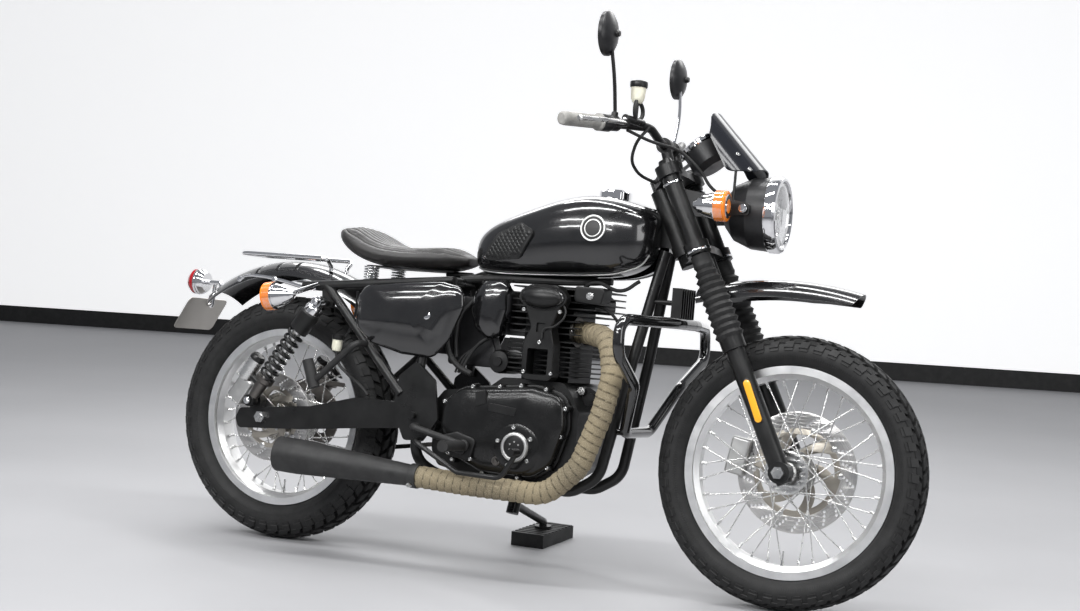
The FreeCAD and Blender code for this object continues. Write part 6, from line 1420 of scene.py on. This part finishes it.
# %% [markdown]
# Lamps are chrome bowls with coloured or clear lenses. The lens is a ribbed disc set in the
# rim, so each gets its own turned shape a hair larger than the solid under it.
# %% Lamps


def ribbed_lens(radius, back, front, bulge):
    """A coloured disc with fine rings on its edge and a domed face."""
    profile = [(0, back), (radius - 1.5, back)]
    height = back
    while height < front - 3:
        profile += [(radius, height + 0.6), (radius, height + 2.0), (radius - 0.7, height + 2.6)]
        height += 3
    profile += [(radius, front - 2), (radius - 2.5, front)]
    profile += [(radius * 0.8, front + bulge * 0.4), (radius * 0.45, front + bulge * 0.85),
                (0, front + bulge)]
    return lathe(profile, 56)


lens = ribbed_lens(37.4, 62, 90, 2.4)
steep = math.radians(8)
back_down = (-math.cos(steep), 0, -math.sin(steep))
rear_lenses = [set_on(at(-588, side * 230, 668), back_down, lens, amber) for side in (-1, 1)]
front_lenses = [set_on(at(457, side * 158, 955), FORWARD, lens, amber) for side in (-1, 1)]
tail = lathe([(0, 24), (35.4, 24), (35.6, 37), (31, 43), (25, 49.6), (12, 51.8), (0, 52.2)], 56)
tail_rim = lathe([(34, 20), (36.4, 20), (36.8, 22), (36.8, 25), (36.2, 26.5), (34, 26.5)], 56, True)
rear_lenses += [set_on(at(-1038, 0, 686), BACKWARD, shape, finish)
                for shape, finish in ((tail, red), (tail_rim, chrome))]
piece("rear_lenses", joined(rear_lenses), None, "frame", "lamp_glass", parked)
piece("front_lenses", joined(front_lenses), None, "steering", "lamp_glass", steered)

# %% [markdown]
# The headlamp is looked into, so it has its inside too: a chrome bowl and a bulb behind fluted
# glass, held by a rolled bezel. The flutes are thin bars on the glass, as long as it allows.
# %% Headlamp
GLASS_RADIUS, FLUTE_STEP = 81, 17
bezel = [(80.5, 3), (81.5, -3), (85, -6), (91, -4), (95, 2), (95, 21), (93.5, 23.9), (86.5, 23.9), (86.5, 4)]
glass = [(0, -9), (30, -8), (55, -5.5), (70, -3), (GLASS_RADIUS, 0)]
glass += [(radius, height + 2.2) for radius, height in reversed(glass)]
bowl = [(0, 21), (12, 20.5), (28, 18.5), (48, 14), (68, 8), (80, 3.5), (86, 3.5), (86, 23.8), (0, 23.8)]
bulb = [(0, 5), (8, 6), (12, 10), (12.5, 21), (0, 21)]
lamp_parts = [(lathe(bezel, 96, True), chrome), (lathe(glass, 96), clear_glass), (lathe(bowl, 96), chrome),
              (lathe(bulb, 32), bright_steel)]
for k in range(-4, 5):
    height = math.sqrt(GLASS_RADIUS ** 2 - (k * FLUTE_STEP) ** 2) - 6
    flute = slab([(-2.5, -height), (2.5, -height), (2.5, height), (-2.5, height)], 1.0, 0.6, 0.6)
    inwards = Matrix.Translation(at(k * FLUTE_STEP, 0, 13)) @ Matrix.Rotation(math.pi, 4, "X")
    lamp_parts.append((moved(flute, inwards), clear_glass))
headlamp = [set_on(at(640, 0, 958), BACKWARD, shape, finish) for shape, finish in lamp_parts]
piece("headlamp_front", joined(headlamp), None, "steering", "lamp_glass", steered, "headlamp_glass")

# %% [markdown]
# The clock is a black can with a chrome bezel and a plain dial. It tilts back to the rider, so
# the dial's marks and needle are thin slabs laid on its face rather than painted lines.
# %% Clock
tilt = math.radians(38)
NEEDLE_TURN, DIAL_HEIGHT = 0.65, 67
can = [(0, 0), (39.2, 0), (52.6, 14.8), (52.6, 63), (0, 63)]
clock_bezel = [(47, 60), (53.2, 60), (55.8, 63), (55.8, 71), (53.5, 73.8), (49, 73.8), (47, 70)]
dial = [(0, DIAL_HEIGHT), (48, DIAL_HEIGHT), (48, 62), (0, 62)]
cap = [(0, 70), (4, 70), (5, DIAL_HEIGHT), (5, 66), (0, 66)]
clock_parts = [(lathe(can, 64), plastic), (lathe(clock_bezel, 64, True), chrome), (lathe(dial, 48), plastic),
               (lathe(cap, 24), cast_metal)]
mark = slab([(-0.7, -3), (0.7, -3), (0.7, 3), (-0.7, 3)], 0.4, 0.1, 0.4)
for k in range(24):
    turn = Matrix.Rotation(math.tau * k / 30 + NEEDLE_TURN, 4, "Z")
    clock_parts.append((moved(mark, turn @ Matrix.Translation(at(0, -40, DIAL_HEIGHT))), cream))
needle = slab([(-1.2, 8), (1.2, 8), (0.4, -34), (-0.4, -34)], 0.6, 0.1, 0.5)
needle_turn = Matrix.Rotation(NEEDLE_TURN, 4, "Z") @ Matrix.Translation(at(0, 0, DIAL_HEIGHT + 1))
clock_parts.append((moved(needle, needle_turn), amber))
clock_place, clock_way = on_fork(147, 0, 774.6), (-math.sin(tilt), 0, math.cos(tilt))
clock = [set_on(clock_place, clock_way, shape, finish) for shape, finish in clock_parts]
piece("clock", joined(clock), None, "steering", "chrome", steered, "gauge")

# %% [markdown]
# The fork has bright rings at its clamps and amber reflectors on its legs, the headlamp hangs
# on two bolts, and two screws hold the small screen, each seated on its sloping surface.
# %% Fork rings, reflectors and screen screws
REFLECTOR_RADIUS = 8.6
reflector_ends = (624, 537), (660, 455)
way = (Vector(reflector_ends[0]) - Vector(reflector_ends[1])).normalized()
reflector_outline = []
outwards = math.atan2(way.y, way.x)
for (x, z), start in zip(reflector_ends, (outwards, outwards + math.pi)):
    for k in range(9):
        turn = start + math.pi * (0.5 - k / 8)
        reflector_outline.append((x + REFLECTOR_RADIUS * math.cos(turn),
                                  z + REFLECTOR_RADIUS * math.sin(turn)))
reflector_middle = tuple((Vector(reflector_ends[0]) + Vector(reflector_ends[1])) / 2)
front_trim = []
for side in (-1, 1):
    for along, radius in ((571, 31.6), (752, 24.4)):
        section = [(radius - 3, 0), (radius, 0.6), (radius + 0.6, 3), (radius, 5.6), (radius - 3, 6)]
        ring = lathe(section, 40, True)
        front_trim.append(set_on(on_fork(FORK_OFFSET, side * 98, along), steer_up, ring, chrome))
    front_trim.append(set_on(at(569, side * 107.5, 958), (0, side, 0), hexagon_head(8, 6), chrome))
    for share, base_y, edge_y, top_y, finish in ((1.0, 112, 124.5, 127.5, reflector),
                                                 (1.072, 112, 121, 122.5, satin)):
        outline = grown(reflector_outline, reflector_middle, share, share)
        front_trim.append(painted(pillow(outline, 1, side * base_y, side * edge_y, side * top_y, 3), finish))
screen_spots = from_side(surface_of("fly_screen", steered), [(535, 1093), (569, 1057)])
front_trim += [painted(moved(socket_head(5.5, 4), seated(*spot)), bright_steel) for spot in screen_spots]
piece("front_trim", joined(front_trim), None, "steering", "chrome", steered)
print(len(screen_spots), "screen screws")

# %% [markdown]
# The bar carries ribbed grips, switch pods, polished levers, mirrors and the brake's fluid
# pot. All follow the bar's own bend, worked out once for each side.
# %% Bar controls
bar_middle = on_fork(FORK_OFFSET, 0, 868.6)
bar_shares = [(0, 0.16, 0), (0.08, 0.34, 1), (0.36, 0.50, 0.80), (1, 1, 0.10)]


def bar_places(side):
    """Half of the bar: its bends from the middle out to its end."""
    return [bar_middle + at(-136 * x, side * 396 * y, 30 * z) for x, y, z in bar_shares]


grip_profile = [(0, -1), (21.4, -1), (21.4, 4.4), (19.5, 6)]
for k in range(26):
    rib_foot = 8 + 4.2 * k
    grip_profile += [(16.9, rib_foot), (16.9, rib_foot + 2.2), (16.0, rib_foot + 2.8), (16.0, rib_foot + 3.6)]
grip_profile += [(16.6, 119), (15.6, 126), (12, 129), (0, 129)]
grip = lathe(grip_profile, 36)
pod = lathe([(0, 0), (19.8, 0), (21.2, 4), (21.4, 32), (20, 36), (16.6, 38), (16.4, 40), (18.2, 44),
             (18.2, 62), (16.5, 65), (0, 65)], 36)
button = lathe([(0, 3), (4, 3), (5, 2), (5, -4), (0, -4)], 16)
lever_ball = lathe([(0, 0), (6, 0), (7.6, 4), (6, 9), (0, 9)], 20)
mirror_shell = lathe([(0, 0.5), (49, 0.5), (50.5, 0), (54, 0), (54.2, 8.8), (51, 13), (38, 21), (22, 26.4),
                      (9, 29), (0, 29.5)], 64)
mirror_glass = lathe([(0, 0.2), (49.4, 0.2), (49.4, 1.6), (0, 1.6)], 64)
mirror_boss = lathe([(0, 0), (8, 0), (9, 6), (6.5, 12), (0, 12)], 24)


def bar_controls_of(side, lever_finish, first_button):
    """The pod, buttons, lever and mirror of one side, and the grip with its place on the bar."""
    half = bar_places(side)
    end = half[-1]
    along = (end - half[-2]).normalized()
    forward = along.cross(UP)
    forward = (forward if forward.x > 0 else -forward).normalized()
    inner = end - along * 0.1183
    perch = inner - along * 0.0519
    lever_end = end + forward * 0.0462
    lever = [perch + forward * 0.0132, perch + forward * 0.0429, inner + forward * 0.0594 + along * 0.0236,
             lever_end]
    controls = [set_on(inner, -along, pod, plastic)]
    for shift, tone in ((0.012, first_button), (0.024, cream)):
        controls.append(set_on(inner - along * shift - forward * 0.021 + UP * 0.004, -forward, button, tone))
    controls += [painted(bent_bar(lever, 5.4, 26), lever_finish),
                 set_on(lever_end - along * 0.0105, along, lever_ball, lever_finish),
                 painted(bent_bar([perch + forward * 0.006, perch + forward * 0.046], 9.5), satin),
                 set_on(perch + forward * 0.036 + UP * 0.009, UP, hexagon_head(6, 5), bright_steel)]
    mirror, stem_foot = at(240, side * 285, 1342), perch + UP * 0.0186
    stem = [stem_foot, stem_foot + UP * 0.014, stem_foot + (mirror - stem_foot) * 0.45 + forward * 0.014,
            mirror + at(13.2, 0, 0)]
    mirrors = [set_on(mirror, FORWARD, mirror_shell, plastic),
               set_on(mirror - at(0.6, 0, 0), FORWARD, mirror_glass, silvered),
               painted(bent_bar(stem, 4.6, 36), satin if side < 0 else chrome),
               set_on(stem_foot - UP * 0.002, UP, hexagon_head(9, 12), satin),
               set_on(mirror + at(26, 0, 0), FORWARD, mirror_boss, satin)]
    return controls, mirrors, (inner, along)


right_controls, right_mirror, right_grip = bar_controls_of(-1, bright_steel, red)
left_controls, left_mirror, left_grip = bar_controls_of(1, satin, cream)
piece("grip_right", set_on(*right_grip, grip, grey_rubber), None, "steering", "grip_grey", steered, "grips")
piece("grip_left", set_on(*left_grip, grip, rubber), None, "steering", "grip_grey", steered)

# %% [markdown]
# The front brake's pump sits on the right of the bar, and its fluid pot stands on the pump. The
# pot is see-through on the real one, but a pale plastic looks the same, as it is full.
# %% Brake pump and fluid pot
clamp_place = bar_places(-1)[2]
across = Vector((clamp_place.x - bar_middle.x, clamp_place.y - bar_middle.y, 0)).normalized()
out = Vector((across.y, -across.x, 0))
out = out if out.x > 0 else -out
pump = clamp_place + out * 0.0236 + at(0, 0, 9)
pot = pump + at(0, 0, 44)
pot_shell = lathe([(0, 0), (10, 0), (12.6, 2), (16.9, 12), (18.9, 38.6), (0, 38.6)], 40)
pot_lid = lathe([(0, 54.4), (19, 54.4), (21.6, 52.6), (22.2, 51), (22.2, 41), (21, 38.4), (0, 38.4)], 12)
pump_parts = [painted(bent_bar([pump - across * 0.0312, pump + across * 0.0468], 10), satin),
              painted(bent_bar([pump, pot], 4.6), satin),
              set_on(pot, UP, pot_shell, cream), set_on(pot, UP, pot_lid, satin)]
for side in (-1, 1):
    loop = [pot + at(0, side * 6, 4), pot + at(4, side * 22, -2), pot + at(6, side * 30, -22),
            pump + at(4, side * 14, 4)]
    pump_parts.append(wire(loop, 5.2, rubber))
piece("bar_controls_made", joined(right_controls + left_controls + pump_parts), None, "steering",
      "black_plastic", steered, "bar_controls")
piece("mirrors_made", joined(right_mirror + left_mirror), None, "steering", "black_plastic", steered,
      "mirrors")

# %% [markdown]
# Small bright parts finish the tail: a rail along each side of the fender with its bolts, and
# the rear brake's fluid pot with its hose and its stay.
# %% Tail trim
rail = [(-868, 84, 700), (-838, 92, 710), (-795, 95, 711), (-720, 98, 703), (-644, 104, 690),
        (-600, 124, 690)]
tail_trim = []
for side in (-1, 1):
    tail_trim.append(hose([(x, side * y, z) for x, y, z in rail], 5.2, chrome))
    for x, y, z in (rail[0], rail[-1], (-744, 98, 706)):
        tail_trim.append(set_on(at(x, side * (y + 4), z), (0, side, 0), hexagon_head(6.5, 5), chrome))
rear_pot = lathe([(0, 0), (11, 0), (13.5, 8), (13.5, 30), (0, 30)], 32)
rear_pot_lid = lathe([(0, 30), (15.5, 30), (15.5, 42), (13, 44), (0, 44)], 14)
for shape, finish in ((rear_pot, cream), (rear_pot_lid, satin)):
    tail_trim.append(set_on(at(-512, -128, 528), (0.05, 0, 1), shape, finish))
pot_hose = [(-512, -128, 530), (-505, -128, 500), (-470, -130, 470), (-420, -138, 440), (-395, -142, 420)]
pot_stay = [(-512, -128, 545), (-500, -118, 560), (-480, -112, 600), (-470, -112, 690)]
tail_trim += [hose(pot_hose, 4.2, rubber), hose(pot_stay, 3.4, satin)]
piece("tail_trim", joined(tail_trim), None, "frame", "chrome", parked)

# %% [markdown]
# The floor is pale grey and the wall white, with a black skirting. Soft lamps hang overhead,
# as the strips do in a studio, and their long reflections draw the tank and the fenders. The
# wall and the skirting are clear from behind, so that a camera behind them still sees in.
# %% Studio


def flat_sheet(name, corners, finish):
    """One four-cornered face."""
    mesh = bpy.data.meshes.new(name)
    mesh.from_pydata(corners, [], [(0, 1, 2, 3)])
    mesh.materials.append(finish.material)
    linked(name, mesh)


floor_grey = Finish("studio_floor", (0.5, 0.5, 0.505), 0.55)
patches = floor_grey.blend(floor_grey.noise(1.2, 5), (0.34, 0.34, 0.35), (0.42, 0.42, 0.43))
floor_grey.set({"Base Color": patches})
wall_white = Finish("studio_wall", (0.86, 0.86, 0.86), 0.9)
seen = wall_white.node("ShaderNodeLightPath", {}, {}, "Is Camera Ray")
mirrored = wall_white.node("ShaderNodeLightPath", {}, {}, "Is Glossy Ray")
glow = wall_white.blend(seen.math("MAXIMUM", mirrored), (0, 0, 0), (0.9, 0.9, 0.9))
wall_white.set({"Emission Color": glow, "Emission Strength": 0.55})


def clear_from_behind(finish):
    """Let a wall be seen only from its front, so a view from behind it is not blocked."""
    tree = finish.material.node_tree
    mix = finish.node("ShaderNodeMixShader", {}, {
        0: finish.node("ShaderNodeNewGeometry", {}, {}, "Backfacing"),
        2: finish.node("ShaderNodeBsdfTransparent", {}, {})})
    tree.links.new(finish.shader.outputs[0], mix.socket.node.inputs[1])
    output = next(node for node in tree.nodes if node.type == "OUTPUT_MATERIAL")
    tree.links.new(mix.socket, output.inputs["Surface"])


skirting_black = moulded("skirting_black", (0.012, 0.012, 0.012), 0.5, 300)
for finish in (wall_white, skirting_black):
    clear_from_behind(finish)
FLOOR_HALF_LENGTH, FLOOR_HALF_WIDTH, WALL_HEIGHT, SKIRTING_HEIGHT = 14, 10, 9, 0.1
floor_corners = [(x * FLOOR_HALF_LENGTH, y * FLOOR_HALF_WIDTH, 0)
                 for x, y in ((-1, -1), (1, -1), (1, 1), (-1, 1))]
wall_left, wall_right = Vector((-13.8, 2.93, 0)), Vector((13.0, 8.68, 0))
before_wall = Vector((0.02, -0.1, 0))


def standing(left, right, height):
    """The corners of an upright sheet on a line on the floor."""
    return [left, right, right + UP * height, left + UP * height]


flat_sheet("floor", floor_corners, floor_grey)
flat_sheet("wall", standing(wall_left, wall_right, WALL_HEIGHT), wall_white)
flat_sheet("skirting", standing(wall_left + before_wall, wall_right + before_wall, SKIRTING_HEIGHT),
           skirting_black)


def soft_lamp(name, place, aim, size, power):
    """A rectangular lamp that points at a place."""
    light = bpy.data.lights.new(name, "AREA")
    light.shape = "RECTANGLE"
    light.size, light.size_y = size
    light.energy = power
    lamp = linked(name, light)
    lamp.location = place
    lamp.rotation_euler = (Vector(aim) - Vector(place)).to_track_quat("-Z", "Y").to_euler()


soft_lamp("strip_over", (0.2, -0.9, 3.3), (0, 0, 0.5), (4.5, 0.22), 80)
soft_lamp("strip_over_far", (0.2, 0.5, 3.3), (0, 0, 0.5), (4.5, 0.22), 70)
soft_lamp("strip_side", (0.6, -3.2, 2.9), (0, 0, 0.6), (4.5, 0.22), 75)
soft_lamp("strip_back", (-0.5, 2.6, 2.8), (0, 0, 0.7), (4.5, 0.8), 60)
soft_lamp("strip_low", (-1.1, -3.9, 2.35), (0, 0, 0.8), (3.2, 0.10), 34)
soft_lamp("strip_mid", (-1.1, -3.4, 3.0), (0, 0, 0.8), (3.2, 0.12), 40)
soft_lamp("window", (4.2, -1.5, 1.8), (0, 0, 0.6), (1.6, 2.4), 40)
world = bpy.data.worlds.new("studio_air")
world.use_nodes = True
background = world.node_tree.nodes["Background"]
background.inputs["Color"].default_value = (0.9, 0.93, 1, 1)
background.inputs["Strength"].default_value = 0.3
bpy.context.scene.world = world
bpy.context.scene.view_settings.view_transform = "Standard"
print("studio ready")
